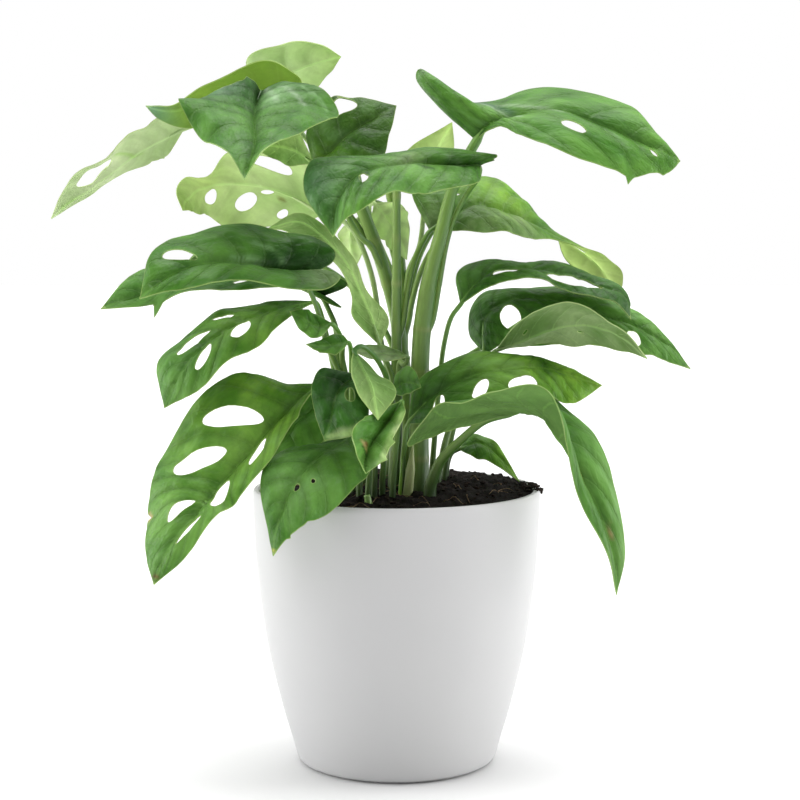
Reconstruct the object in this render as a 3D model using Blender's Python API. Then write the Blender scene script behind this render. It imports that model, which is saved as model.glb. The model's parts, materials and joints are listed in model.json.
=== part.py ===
# Monstera adansonii in a round plastic pot.
# Sizes are in millimetres here and become metres where a mesh is built.
# The pot's axis is Z, its underside is at Z = 0, and its front looks along -Y.

import math

import bmesh
import bpy
from mathutils import Vector
from mathutils.geometry import delaunay_2d_cdt

MM = 0.001
GAP = 0.35

# The pot: outer profile as (radius, height), from the underside up to the rim.
POT_HEIGHT = 134
POT_PROFILE = (
    (44.5, 0),
    (47, 0.8),
    (49, 3),
    (51.5, 12),
    (56, 27),
    (63, 57),
    (67.8, 92),
    (69.7, 122),
    (70, 132.6),
    (69.3, POT_HEIGHT),
)
POT_WALL = 3
POT_SIDES = 36

# The soil fills the pot and rises a little towards the middle, the back and both sides.
SOIL_EDGE = 131
SOIL_RISE = 3
SOIL_BACK_RISE = 4
SOIL_SIDE_RISE = 2.5
SOIL_RINGS = (0.96, 0.78, 0.58, 0.36, 0.16)
ROOT_DEPTH = 9

# The viewing point of the photograph, which leaf and shoot points are measured from.
EYE = Vector((1.7, -900, 262))
LOOK_DOWN = math.radians(5.4)
LINE_OF_SIGHT = Vector((0, math.cos(LOOK_DOWN), -math.sin(LOOK_DOWN)))
PICTURE_UP = Vector((0, math.sin(LOOK_DOWN), math.cos(LOOK_DOWN)))
PICTURE_RIGHT = Vector((1, 0, 0))
PICTURE_DISTANCE = -EYE.y / math.cos(LOOK_DOWN)
PICTURE_MIDDLE = EYE + LINE_OF_SIGHT * PICTURE_DISTANCE

# Blades and stalks.
BLADE_THICKNESS = 0.8
BLADE_ARCH = 0.10
WAVE_HEIGHT = 2.2
WAVES = 3.2
SIDE_SCALE = 0.4
STALK_SIDES = 5
SHOOT_SIDES = 8
STALK_RADII = (1.5, 1.1)
CLASP = 7
SHORT_STEP = 14

COLOURS = {
    "mature": (0.045, 0.16, 0.025, 1),
    "shade": (0.12, 0.24, 0.08, 1),
    "young": (0.14, 0.30, 0.04, 1),
    "new": (0.30, 0.50, 0.08, 1),
    "shoot": (0.16, 0.32, 0.07, 1),
    "soil": (0.03, 0.02, 0.014, 1),
    "pot": (0.85, 0.85, 0.84, 1),
}
ROUGHNESS = {"soil": 0.95, "pot": 0.4}

# Shoots and leaves are laid out as they show from the viewing point. A point holds how far across and how far
# up it shows on an upright picture plane through the pot's axis, and how far behind that axis it lies.
SHOOTS = {
    "shoot_right": dict(
        points=((11, 131, -2), (11, 170, -1), (12, 206, 0), (15, 230, 0)),
        radii=(5.0, 4.2),
    ),
    "shoot_middle": dict(
        points=((-1, 131, 2), (0, 165, 2), (0, 205, 1), (0, 240, 0), (0, 275, 0), (1, 290, 0)),
        radii=(3.3, 1.8),
    ),
    "shoot_bright": dict(
        points=((5, 132, 14), (5, 176, 12), (1, 212, 9), (-6, 240, 8), (-16, 268, 8), (-22, 280, 8)),
        radii=(3.6, 3.0),
    ),
    "shoot_left": dict(
        points=((-15, 131, 4), (-20, 163, 0), (-25, 186, -3), (-28, 198, -5)),
        radii=(2.8, 2.2),
    ),
    "shoot_back": dict(
        points=((-4, 134, 30), (2, 180, 34), (3, 225, 38), (0, 262, 42), (-6, 290, 44)),
        radii=(3.4, 2.2),
    ),
}

LEAVES = (
    dict(
        name="leaf_upper_right",
        age="mature",
        base=(39, 303, -5),
        left=((21, 319, 8), (10, 332, 12), (13, 337, 16), (25, 325, 20), (42, 322, 24), (65, 327, 28), (91, 326, 26), (114, 321, 18), (126, 307, 10), (134, 298, 4)),
        midrib=((41, 307, -6), (44, 310, -7), (47, 312, -8), (50, 314, -8), (56, 315, -9), (78, 318, -13), (102, 310, -18), (118, 303, -21), (129, 298, -23), (135, 295, -24)),
        right=((43, 307, -4), (47, 309, -6), (51, 310, -8), (56, 308, -12), (64, 303, -18), (83, 296, -24), (105, 291, -20), (114, 285, -16), (126, 287, -8), (133, 288, -6)),
        tip=(138, 293, -24),
        holes=(
            ("right", 0.56, 0.57, 0.33, 0.57, 0.022),
            ("right", 0.77, 0.80, 0.16, 0.42, 0.010),
        ),
        stalk=((36, 298, -4), (27, 279, 0), (22, 259, 0)),
        root=("shoot_right", "top"),
        stalk_radii=(3.9, 2.2),
    ),
    dict(
        name="leaf_upper_middle",
        age="mature",
        base=(41, 291, -15),
        left=((39, 282, -14), (19, 279, -18), (0, 277, -20), (-17, 270, -16), (-26, 263, -8)),
        midrib=((27, 291, -22), (11, 292, -30), (-3, 291, -38), (-19, 286, -48), (-29, 272, -60)),
        right=((48, 296, 8), (21, 300, 14), (-5, 296, 14), (-37, 295, 12), (-45, 279, 6)),
        tip=(-31, 256, -68),
        holes=(
            ("left", 0.65, 0.63, 0.08, 0.38, 0.022),
        ),
        stalk=((40, 285, -8), (34, 277, 2), (27, 263, 3), (23, 247, 4)),
        root=("shoot_right", 214),
    ),
    dict(
        name="leaf_upper_left_front",
        age="mature",
        base=(-66, 327, -2),
        left=((-52, 332, 3), (-38, 327, 8), (-28, 318, 12), (-43, 307, 8), (-62, 301, 2)),
        midrib=((-68, 322, -14), (-69, 316, -28), (-69, 310, -42), (-69, 302, -58), (-71, 293, -72)),
        right=((-72, 333, 3), (-90, 326, 8), (-106, 322, 10), (-96, 306, 8), (-82, 297, 2)),
        tip=(-74, 284, -82),
        stalk=((-65, 326, 6), (-47, 314, 12), (-30, 294, 12)),
        root=("shoot_bright", "top"),
    ),
    dict(
        name="leaf_upper_left_olive",
        age="young",
        base=(-45, 324, 20),
        left=((-48, 335, -8), (-65, 341, -12), (-92, 331, -8), (-107, 321, -2), (-116, 320, -2)),
        midrib=((-62, 324, 22), (-78, 324, 22), (-93, 322, 20), (-106, 318, 16), (-115, 318, 15)),
        right=((-61, 315, 8), (-76, 313, 8), (-90, 311, 6), (-102, 309, 4), (-115, 313, 4)),
        tip=(-122, 320, 14),
        stalk=((-41, 321, 20), (-30, 311, 20), (-20, 291, 18)),
        root=("shoot_bright", 266),
    ),
    dict(
        name="leaf_top_lime",
        age="new",
        base=(-67, 325, 42),
        left=((-56, 324, 14), (-44, 325, 14), (-33, 335, 8)),
        midrib=((-58, 333, 48), (-47, 338, 54), (-35, 342, 60)),
        right=((-73, 341, -12), (-57, 350, -14), (-38, 350, -8)),
        tip=(-27, 344, 64),
        stalk=((-63, 321, 38), (-47, 308, 36), (-25, 286, 36)),
        root=("shoot_back", "top"),
    ),
    dict(
        name="leaf_far_left",
        age="young",
        base=(-103, 309, 36),
        left=((-115, 314, -14), (-126, 308, -16), (-138, 298, -16), (-152, 289, -14), (-162, 279, -8)),
        midrib=((-113, 304, 38), (-124, 298, 39), (-135, 290, 40), (-148, 280, 40), (-159, 273, 39)),
        right=((-110, 298, 8), (-116, 293, 10), (-132, 288, 8), (-145, 279, 8), (-155, 273, 5)),
        tip=(-168, 265, 38),
        holes=(
            ("left", 0.52, 0.74, 0.50, 0.34, 0.100),
        ),
        stalk=((-93, 312, 36), (-66, 306, 37), (-37, 286, 38), (-14, 267, 38)),
        root=("shoot_back", 246),
    ),
    dict(
        name="leaf_pale_left",
        age="new",
        base=(-36, 267, 20),
        left=((-44, 295, -6), (-65, 299, -8), (-82, 297, -8), (-90, 287, -6), (-96, 285, -5), (-102, 285, -5), (-106, 282, -4), (-107, 277, -3)),
        midrib=((-47, 274, 22), (-62, 280, 24), (-76, 282, 26), (-86, 282, 26), (-94, 280, 26), (-98, 278, 26), (-101, 275, 26), (-103, 273, 25)),
        right=((-47, 262, 6), (-61, 261, 8), (-74, 260, 8), (-84, 262, 6), (-91, 266, 5), (-95, 267, 4), (-98, 268, 4), (-100, 269, 3)),
        tip=(-104, 269, 25),
        holes=(
            ("left", 0.16, 0.27, 0.40, 0.80, 0.055),
            ("right", 0.49, 0.54, 0.10, 0.60, 0.046),
            ("right", 0.29, 0.35, 0.20, 0.64, 0.044),
            ("right", 0.21, 0.25, 0.04, 0.22, 0.021),
            ("right", 0.17, 0.19, 0.52, 0.80, 0.020),
        ),
        stalk=((-29, 266, 16), (-22, 261, 9), (-15, 247, 4), (-11, 233, 1), (-9, 219, 0), (-8, 206, 0)),
        root=("shoot_middle", 186),
    ),
    dict(
        name="leaf_upper_centre",
        age="mature",
        base=(-41, 291, 2),
        left=((-43, 309, 10), (-32, 323, 12), (-19, 324, 8)),
        midrib=((-32, 298, 0), (-22, 307, 0), (-10, 314, 2)),
        right=((-22, 290, -8), (-8, 294, -10), (-3, 307, -6)),
        tip=(0, 320, 6),
        holes=(
            ("left", 0.44, 0.69, 0.58, 0.74, 0.098),
        ),
        stalk=((-38, 286, 2), (-27, 272, -2), (-17, 255, -4)),
        root=("shoot_bright", 246),
    ),
    dict(
        name="leaf_behind_front_left",
        age="shade",
        base=(-40, 292, 12),
        left=((-49, 308, -6), (-62, 310, -6)),
        midrib=((-51, 299, 10), (-63, 301, 8)),
        right=((-52, 291, 6), (-63, 296, 5)),
        tip=(-76, 303, 6),
        stalk=((-35, 286, 12), (-25, 270, 12)),
        root=("shoot_bright", 254),
    ),
    dict(
        name="leaf_pale_top_middle",
        age="new",
        base=(14, 275, 36),
        left=((26, 288, 4), (28, 300, 4)),
        midrib=((14, 288, 40), (20, 299, 44)),
        right=((2, 291, 4), (7, 300, 4)),
        tip=(27, 312, 48),
        stalk=((13, 267, 34), (11, 250, 34)),
        root=("shoot_back", 232),
    ),
    dict(
        name="leaf_right",
        age="mature",
        base=(16, 259, 8),
        left=((8, 280, 14), (31, 284, 22), (46, 285, 24), (62, 274, 18), (75, 260, 10)),
        midrib=((27, 267, 12), (39, 272, 16), (52, 269, 19), (64, 264, 22), (76, 257, 26)),
        right=((25, 259, -6), (42, 259, -14), (56, 258, -14), (67, 255, -10), (76, 255, -4)),
        tip=(91, 251, 28),
        holes=(
            ("left", 0.20, 0.28, 0.24, 0.36, 0.012),
        ),
        stalk=((14, 256, 6), (8, 243, 2)),
        root=("shoot_middle", 214),
        wave=0.3,
    ),
    dict(
        name="leaf_right_lime",
        age="new",
        base=(78, 257, 38),
        left=((81, 248, -4), (88, 239, -5), (99, 231, -4)),
        midrib=((88, 250, 42), (97, 243, 44), (104, 233, 44)),
        right=((92, 251, 4), (103, 246, 5), (110, 237, 4)),
        tip=(108, 223, 42),
        holes=(
            ("right", 0.15, 0.32, 0.10, 0.38, 0.055),
        ),
        stalk=((60, 262, 38), (36, 266, 36), (20, 255, 34)),
        root=("shoot_back", 214),
    ),
    dict(
        name="leaf_right_curled",
        age="mature",
        base=(31, 223, 12),
        left=((30, 239, 8), (46, 245, 12), (64, 244, 14), (81, 243, 16), (96, 238, 14), (111, 230, 8)),
        midrib=((38, 233, 14), (49, 240, 18), (68, 240, 21), (84, 238, 22), (97, 233, 20), (111, 227, 16)),
        right=((40, 229, -6), (50, 234, -10), (66, 236, -10), (80, 232, -12), (95, 227, -12), (107, 224, -8)),
        tip=(114, 216, 10),
        holes=(
            ("right", 0.37, 0.28, 0.04, 0.50, 0.050),
            ("right", 0.74, 0.50, 0.16, 0.74, 0.090),
        ),
        stalk=((26, 217, 11), (23, 204, 12), (21, 187, 14)),
        root=("soil", (17, 141, 16)),
    ),
    dict(
        name="leaf_right_broad",
        age="mature",
        base=(43, 199, 20),
        left=((35, 211, 8), (43, 229, 14), (74, 232, 16), (109, 224, 12), (127, 212, 8)),
        midrib=((43, 217, 24), (59, 227, 26), (87, 223, 24), (115, 213, 18), (131, 204, 14)),
        right=((51, 203, -8), (65, 204, -10), (94, 203, -10), (117, 200, -8), (130, 196, -6)),
        tip=(143, 192, 10),
        holes=(
            ("right", 0.28, 0.28, 0.14, 0.70, 0.046),
            ("right", 0.66, 0.66, 0.30, 0.78, 0.030),
        ),
        stalk=((39, 193, 22), (30, 172, 24)),
        root=("soil", (23, 141, 26)),
    ),
    dict(
        name="leaf_right_grey",
        age="shade",
        base=(48, 201, 2),
        left=((61, 203, 8), (78, 204, 10), (95, 203, 10), (110, 201, 6)),
        midrib=((60, 205, -6), (78, 212, -14), (95, 213, -18), (110, 207, -18)),
        right=((58, 213, -8), (76, 224, -14), (95, 220, -14), (111, 210, -8)),
        tip=(122, 197, -18),
        holes=(
            ("right", 0.23, 0.25, 0.18, 0.32, 0.012),
            ("left", 0.52, 0.54, 0.38, 0.52, 0.015),
        ),
        stalk=((43, 196, 6), (33, 179, 10), (24, 159, 12)),
        root=("soil", (20, 140, 10)),
    ),
    dict(
        name="leaf_right_low",
        age="mature",
        base=(5, 165, -16),
        left=((11, 187, 6), (32, 198, 14), (57, 200, 16), (69, 197, 13), (83, 193, 10)),
        midrib=((17, 178, -20), (40, 190, -22), (64, 193, -22), (75, 192, -21), (88, 188, -20)),
        right=((21, 167, -8), (46, 177, -12), (66, 180, -10), (78, 177, -9), (88, 176, -7)),
        tip=(100, 184, -18),
        holes=(
            ("right", 0.20, 0.17, 0.16, 0.80, 0.026),
            ("right", 0.34, 0.30, 0.32, 0.86, 0.028),
            ("right", 0.47, 0.47, 0.42, 0.90, 0.066),
        ),
        stalk=((4, 157, -15), (3, 148, -12)),
        root=("soil", (3, 137, -12)),
    ),
    dict(
        name="leaf_right_arching",
        age="mature",
        base=(50, 169, -30),
        left=((49, 173, 12), (55, 176, 16), (64, 178, 18), (72, 178, 18), (79, 175, 18), (96, 162, 12), (105, 136, 8), (111, 105, 4)),
        midrib=((56, 170, -32), (61, 171, -34), (66, 170, -36), (70, 169, -38), (74, 165, -40), (82, 153, -46), (96, 128, -52), (105, 103, -56)),
        right=((28, 162, -6), (5, 157, -8), (16, 169, -12), (31, 175, -13), (50, 183, -14), (74, 179, -6), (88, 131, -6), (102, 103, -4)),
        tip=(107, 82, -58),
        stalk=((43, 167, -28), (32, 158, -24), (21, 147, -20)),
        root=("soil", (16, 135, -18)),
        stalk_radii=(3.0, 1.4),
    ),
    dict(
        name="leaf_low_behind",
        age="mature",
        base=(30, 153, 30),
        left=((38, 160, 6), (49, 155, 5)),
        midrib=((40, 156, 28), (49, 150, 24)),
        right=((38, 149, -6), (47, 146, -5)),
        tip=(60, 137, 17),
        stalk=((26, 151, 30),),
        root=("soil", (24, 144, 32)),
    ),
    dict(
        name="leaf_small_middle",
        age="mature",
        base=(-3, 180, -26),
        left=((1, 191, 6), (8, 192, 6)),
        midrib=((3, 185, -28), (8, 185, -28)),
        right=((3, 179, -5), (8, 181, -5)),
        tip=(12, 183, -26),
        stalk=((-5, 174, -26), (-6, 157, -20)),
        root=("soil", (-7, 137, -16)),
    ),
    dict(
        name="leaf_front_dark",
        age="mature",
        base=(-17, 189, -44),
        left=((-14, 180, -4), (-14, 169, -6), (-21, 160, -4)),
        midrib=((-25, 185, -50), (-30, 177, -58), (-32, 167, -64)),
        right=((-36, 192, 6), (-41, 184, 8), (-40, 172, 6)),
        tip=(-35, 157, -66),
        holes=(
            ("left", 0.30, 0.46, 0.28, 0.45, 0.062),
        ),
        stalk=((-13, 190, -38), (-10, 181, -28), (-10, 157, -20)),
        root=("soil", (-11, 136, -18)),
    ),
    dict(
        name="leaf_front_cupped",
        age="mature",
        base=(3, 177, -46),
        left=((4, 170, -4), (-2, 158, -6), (-6, 148, -6)),
        midrib=((-4, 167, -56), (-11, 157, -66), (-15, 149, -72)),
        right=((-12, 170, -8), (-21, 163, -10), (-20, 152, -8)),
        tip=(-15, 141, -74),
        stalk=((2, 172, -34), (0, 157, -26)),
        root=("soil", (-2, 135, -22)),
    ),
    dict(
        name="leaf_front_low",
        age="mature",
        base=(-19, 162, -38),
        left=((-12, 147, -8), (-19, 135, -10), (-31, 124, -8), (-46, 115, -6), (-54, 109, -3)),
        midrib=((-27, 156, -46), (-38, 149, -56), (-48, 138, -68), (-55, 124, -78), (-59, 111, -84)),
        right=((-38, 155, 4), (-53, 153, 8), (-63, 147, 10), (-66, 132, 8), (-62, 112, 4)),
        tip=(-60, 101, -86),
        holes=(
            ("left", 0.52, 0.55, 0.02, 0.14, 0.022),
            ("left", 0.46, 0.47, 0.26, 0.36, 0.012),
        ),
        stalk=((-15, 160, -34), (-13, 150, -30)),
        root=("soil", (-14, 134, -28)),
    ),
    dict(
        name="leaf_left_big",
        age="mature",
        base=(-36, 185, -30),
        left=((-43, 178, -2), (-53, 162, -6), (-63, 145, -8), (-76, 130, -8), (-82, 124, -7), (-90, 118, -6), (-104, 99, -3)),
        midrib=((-47, 177, -36), (-60, 164, -46), (-73, 149, -56), (-85, 136, -64), (-91, 129, -67), (-97, 122, -70), (-111, 104, -76)),
        right=((-53, 185, 12), (-75, 190, 18), (-98, 175, 20), (-113, 153, 18), (-117, 139, 16), (-121, 125, 14), (-122, 104, 8)),
        tip=(-118, 87, -80),
        holes=(
            ("right", 0.27, 0.39, 0.15, 0.72, 0.037),
            ("right", 0.41, 0.57, 0.20, 0.68, 0.046),
            ("right", 0.69, 0.79, 0.14, 0.44, 0.033),
            ("left", 0.31, 0.38, 0.10, 0.50, 0.042),
            ("left", 0.49, 0.65, 0.06, 0.62, 0.085),
            ("left", 0.76, 0.84, 0.44, 0.16, 0.034),
        ),
        stalk=((-30, 184, -27), (-24, 172, -24), (-19, 153, -22)),
        root=("soil", (-18, 135, -22)),
    ),
    dict(
        name="leaf_left_dark",
        age="mature",
        base=(-29, 178, -10),
        left=((-28, 168, -4), (-37, 156, -4), (-48, 150, -3)),
        midrib=((-39, 174, -15), (-49, 165, -22), (-57, 155, -26)),
        right=((-47, 184, 6), (-58, 172, 6), (-63, 159, 4)),
        tip=(-66, 147, -28),
        stalk=((-25, 173, -8), (-22, 161, -7)),
        root=("soil", (-21, 138, -8)),
    ),
    dict(
        name="leaf_left_upper",
        age="mature",
        base=(-47, 236, -26),
        left=((-27, 238, -6), (-38, 229, -10), (-65, 235, -14), (-90, 233, -12), (-110, 230, -6)),
        midrib=((-53, 238, -30), (-62, 241, -36), (-76, 243, -44), (-93, 243, -52), (-110, 237, -58)),
        right=((-30, 246, 8), (-45, 258, 16), (-71, 261, 22), (-99, 259, 20), (-118, 249, 12)),
        tip=(-125, 226, -62),
        holes=(
            ("right", 0.70, 0.81, 0.12, 0.62, 0.036),
        ),
        stalk=((-43, 232, -25), (-39, 223, -24), (-34, 204, -18)),
        root=("shoot_left", 184),
    ),
    dict(
        name="leaf_left_under",
        age="mature",
        base=(-36, 227, -2),
        left=((-27, 222, -2), (-52, 231, -8), (-77, 231, -10), (-103, 229, -8), (-120, 223, -4)),
        midrib=((-43, 231, -4), (-61, 236, -8), (-83, 236, -12), (-106, 233, -14), (-127, 227, -16)),
        right=((-24, 234, 4), (-51, 241, 10), (-78, 245, 12), (-105, 244, 12), (-128, 238, 8)),
        tip=(-144, 221, -16),
        holes=(
            ("left", 0.42, 0.49, 0.30, 0.66, 0.028),
        ),
        stalk=((-34, 223, -3), (-29, 212, -4)),
        root=("shoot_left", "top"),
    ),
    dict(
        name="leaf_left_holed",
        age="mature",
        base=(-39, 225, -16),
        left=((-51, 218, -5), (-63, 207, -12), (-80, 196, -14), (-98, 181, -8)),
        midrib=((-52, 222, -20), (-70, 217, -26), (-87, 208, -34), (-102, 194, -42)),
        right=((-54, 225, 6), (-73, 223, 14), (-94, 215, 16), (-115, 196, 14)),
        tip=(-113, 173, -48),
        holes=(
            ("right", 0.61, 0.77, 0.28, 0.42, 0.060),
            ("right", 0.48, 0.57, 0.40, 0.62, 0.024),
            ("left", 0.45, 0.52, 0.03, 0.56, 0.056),
            ("left", 0.66, 0.74, 0.10, 0.56, 0.045),
        ),
        stalk=((-37, 220, -11), (-33, 204, -7)),
        root=("shoot_left", 174),
    ),
    dict(
        name="leaf_left_small",
        age="mature",
        base=(-31, 214, -30),
        left=((-38, 207, -4), (-46, 210, -3)),
        midrib=((-39, 213, -32), (-46, 217, -33)),
        right=((-40, 219, 4), (-45, 221, 3)),
        tip=(-52, 220, -32),
        stalk=((-28, 210, -26), (-26, 204, -16)),
        root=("shoot_left", 192),
    ),
    dict(
        name="leaf_centre_grey",
        age="shade",
        base=(-8, 203, -10),
        left=((-4, 217, 4), (-15, 231, 3), (-21, 246, 3), (-33, 260, 4), (-48, 268, 5)),
        midrib=((-12, 216, -12), (-18, 230, -12), (-25, 244, -8), (-36, 256, 0), (-48, 263, 4)),
        right=((-21, 217, -5), (-22, 228, -4), (-28, 242, -4), (-42, 252, -6), (-53, 259, -6)),
        tip=(-63, 260, 6),
        stalk=((-5, 196, -9),),
        root=("shoot_middle", 182),
    ),
    dict(
        name="leaf_centre_hanging",
        age="shade",
        base=(-21, 201, -48),
        left=((-22, 193, -3), (-19, 181, -3)),
        midrib=((-17, 193, -54), (-12, 182, -60)),
        right=((-9, 190, 4), (0, 181, 5)),
        tip=(-9, 167, -66),
        stalk=((-17, 204, -47), (-10, 198, -40), (-3, 181, -22)),
        root=("shoot_middle", 156),
    ),
    dict(
        name="leaf_centre_flat",
        age="shade",
        base=(6, 198, -13),
        left=((-2, 196, -4), (-12, 197, -4)),
        midrib=((-2, 199, -19), (-12, 200, -26)),
        right=((-2, 202, 4), (-12, 204, 4)),
        tip=(-22, 201, -32),
        stalk=((4, 193, -10),),
        root=("shoot_middle", 190),
    ),
    dict(
        name="leaf_centre_curl",
        age="mature",
        base=(-23, 205, -34),
        left=((-28, 200, -4), (-37, 200, -3)),
        midrib=((-28, 204, -36), (-36, 203, -38)),
        right=((-28, 209, 4), (-37, 206, 3)),
        tip=(-44, 204, -40),
        stalk=((-22, 201, -28),),
        root=("shoot_left", 170),
    ),
    dict(
        name="leaf_back_pale_small",
        age="new",
        base=(-11, 273, 24),
        left=((2, 272, 3), (6, 261, 3)),
        midrib=((-5, 266, 26), (1, 257, 28)),
        right=((-12, 261, -3), (-5, 252, -3)),
        tip=(5, 245, 30),
        stalk=((-14, 271, 30), (-11, 259, 35)),
        root=("shoot_back", 228),
    ),
    dict(
        name="leaf_pale_scrap",
        age="new",
        base=(-17, 267, 15),
        left=((-28, 259, 3), (-27, 250, 3)),
        midrib=((-22, 259, 16), (-22, 250, 16)),
        right=((-16, 261, -3), (-16, 251, -3)),
        tip=(-20, 241, 16),
        stalk=((-12, 263, 16),),
        root=("shoot_bright", 238),
    ),
    dict(
        name="leaf_back_left",
        age="mature",
        base=(-44, 244, 50),
        left=((-51, 253, -16), (-71, 255, -20), (-93, 252, -14)),
        midrib=((-63, 247, 58), (-82, 245, 70), (-99, 241, 80)),
        right=((-54, 237, 18), (-76, 237, 20), (-96, 235, 14)),
        tip=(-111, 233, 86),
        stalk=((-36, 242, 46), (-21, 231, 42)),
        root=("shoot_back", 192),
    ),
    dict(
        name="leaf_back_right",
        age="mature",
        base=(64, 217, 48),
        left=((72, 207, 14), (88, 206, 16)),
        midrib=((78, 216, 58), (92, 214, 68)),
        right=((72, 225, -14), (89, 223, -16)),
        tip=(107, 209, 78),
        stalk=((55, 211, 46), (42, 203, 42), (21, 189, 38)),
        root=("shoot_back", 164),
    ),
    dict(
        name="leaf_back_low",
        age="mature",
        base=(-35, 165, 64),
        left=((-51, 159, 6), (-55, 138, 8), (-52, 116, 8)),
        midrib=((-38, 155, 80), (-40, 136, 94), (-42, 115, 102)),
        right=((-26, 156, 6), (-27, 135, 8), (-32, 114, 8)),
        tip=(-44, 93, 106),
        stalk=((-32, 170, 54), (-25, 159, 42)),
        root=("soil", (-20, 144, 34)),
    ),
    dict(
        name="leaf_back_high",
        age="shade",
        base=(-34, 297, 60),
        left=((-27, 294, 14), (-15, 296, 14)),
        midrib=((-25, 300, 72), (-16, 302, 86)),
        right=((-28, 309, -12), (-19, 310, -12)),
        tip=(-6, 307, 98),
        stalk=((-35, 292, 54), (-25, 275, 50)),
        root=("shoot_back", 266),
    ),
    dict(
        name="leaf_back_right_high",
        age="mature",
        base=(35, 268, 54),
        left=((45, 262, 12), (57, 260, 12)),
        midrib=((47, 271, 64), (59, 267, 76)),
        right=((42, 279, -14), (56, 276, -12)),
        tip=(68, 262, 84),
        stalk=((27, 267, 50), (16, 257, 46)),
        root=("shoot_back", 222),
    ),
)


def clear_scene():
    for old in list(bpy.data.objects):
        bpy.data.objects.remove(old, do_unlink=True)


def material(name):
    found = bpy.data.materials.get(name)
    if found:
        return found
    made = bpy.data.materials.new(name)
    made.use_nodes = True
    shader = made.node_tree.nodes["Principled BSDF"]
    shader.inputs["Base Color"].default_value = COLOURS[name]
    shader.inputs["Roughness"].default_value = ROUGHNESS.get(name, 0.45)
    shader.inputs["Metallic"].default_value = 0
    return made


def add_object(name, points, faces, look):
    mesh = bpy.data.meshes.new(name)
    mesh.from_pydata([Vector(p) * MM for p in points], [], faces)
    shape = bmesh.new()
    shape.from_mesh(mesh)
    bmesh.ops.recalc_face_normals(shape, faces=shape.faces)
    shape.to_mesh(mesh)
    shape.free()
    mesh.materials.append(material(look))
    made = bpy.data.objects.new(name, mesh)
    bpy.context.scene.collection.objects.link(made)
    return made


def seen(across, up, back):
    """The place that shows at this point of the picture plane and lies this far behind the pot's axis."""
    ray = PICTURE_MIDDLE - EYE
    ray = ray + PICTURE_RIGHT * (across - PICTURE_MIDDLE.x) + PICTURE_UP * (up - PICTURE_MIDDLE.z)
    return EYE + ray * ((back - EYE.y) / ray.y)


def along(points, place):
    """A point of the smooth curve through the given points; place runs from 0 at the first to 1 at the last."""
    step = min(max(place, 0), 1) * (len(points) - 1)
    first = min(int(step), len(points) - 2)
    part = step - first
    here = points[first]
    after = points[first + 1]
    before = points[first - 1] if first > 0 else here * 2 - after
    beyond = points[first + 2] if first + 2 < len(points) else after * 2 - here
    return 0.5 * (
        2 * here
        + (after - before) * part
        + (2 * before - 5 * here + 4 * after - beyond) * part**2
        + (3 * here - before - 3 * after + beyond) * part**3
    )


def smooth_route(points):
    """The given points with one more between each two, on a smooth curve that doesn't swing out at the ends."""
    slopes = []
    for index, place in enumerate(points):
        steps = []
        if index > 0:
            steps.append(place - points[index - 1])
        if index < len(points) - 1:
            steps.append(points[index + 1] - place)
        slopes.append(sum((step / step.length**1.5 for step in steps), Vector((0, 0, 0))).normalized())
    route = [points[0]]
    for index in range(len(points) - 1):
        low = points[index]
        high = points[index + 1]
        if (high - low).length > SHORT_STEP:
            bend = (slopes[index] - slopes[index + 1]) * (high - low).length / 8
            route.append((low + high) / 2 + bend)
        route.append(high)
    return route


def tube(route, radii, sides):
    """A closed tube along the route: points and faces, with its ring turned as little as can be."""
    points = []
    side = None
    for index, place in enumerate(route):
        ahead = route[min(index + 1, len(route) - 1)] - route[max(index - 1, 0)]
        ahead.normalize()
        if side is None:
            side = ahead.cross(Vector((0, 1, 0))).normalized()
        side = (side - ahead * side.dot(ahead)).normalized()
        other = ahead.cross(side)
        for corner in range(sides):
            turn = 2 * math.pi * corner / sides
            points.append(place + (side * math.cos(turn) + other * math.sin(turn)) * radii[index])
    faces = [list(range(sides))[::-1], [len(points) - sides + corner for corner in range(sides)]]
    for ring in range(len(route) - 1):
        for corner in range(sides):
            after = (corner + 1) % sides
            low = ring * sides
            faces.append([low + corner, low + after, low + sides + after, low + sides + corner])
    return points, faces


def add_lathe(name, profile, look, closes_on_axis=True):
    """Turns a profile, listed from the axis below to the axis above, about Z."""
    points = []
    faces = []
    for radius, height in profile:
        for corner in range(POT_SIDES):
            turn = 2 * math.pi * (corner + 0.5) / POT_SIDES
            points.append((radius * math.cos(turn), radius * math.sin(turn), height))
    for ring in range(len(profile) - 1):
        for corner in range(POT_SIDES):
            after = (corner + 1) % POT_SIDES
            low = ring * POT_SIDES
            faces.append([low + corner, low + after, low + POT_SIDES + after, low + POT_SIDES + corner])
    if closes_on_axis:
        faces.append(list(range(POT_SIDES))[::-1])
        faces.append([len(points) - POT_SIDES + corner for corner in range(POT_SIDES)])
    return add_object(name, points, faces, look)


def inner_radius(height):
    """Radius of the pot's inside at a height."""
    for (low_radius, low), (high_radius, high) in zip(POT_PROFILE, POT_PROFILE[1:]):
        if low <= height <= high:
            return low_radius + (high_radius - low_radius) * (height - low) / (high - low) - POT_WALL
    return POT_PROFILE[-1][0] - POT_WALL


def make_pot():
    inside = [(inner_radius(height) - 0.3, height) for height in (POT_HEIGHT, 122, 92, 57, 27, 12)]
    inside[0] = (66.6, POT_HEIGHT)
    inside.append((inner_radius(POT_WALL + 1) - 2, POT_WALL + 0.5))
    inside.append((inner_radius(POT_WALL + 1) - 4, POT_WALL))
    return add_lathe("pot", list(POT_PROFILE) + inside, "pot")


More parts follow.
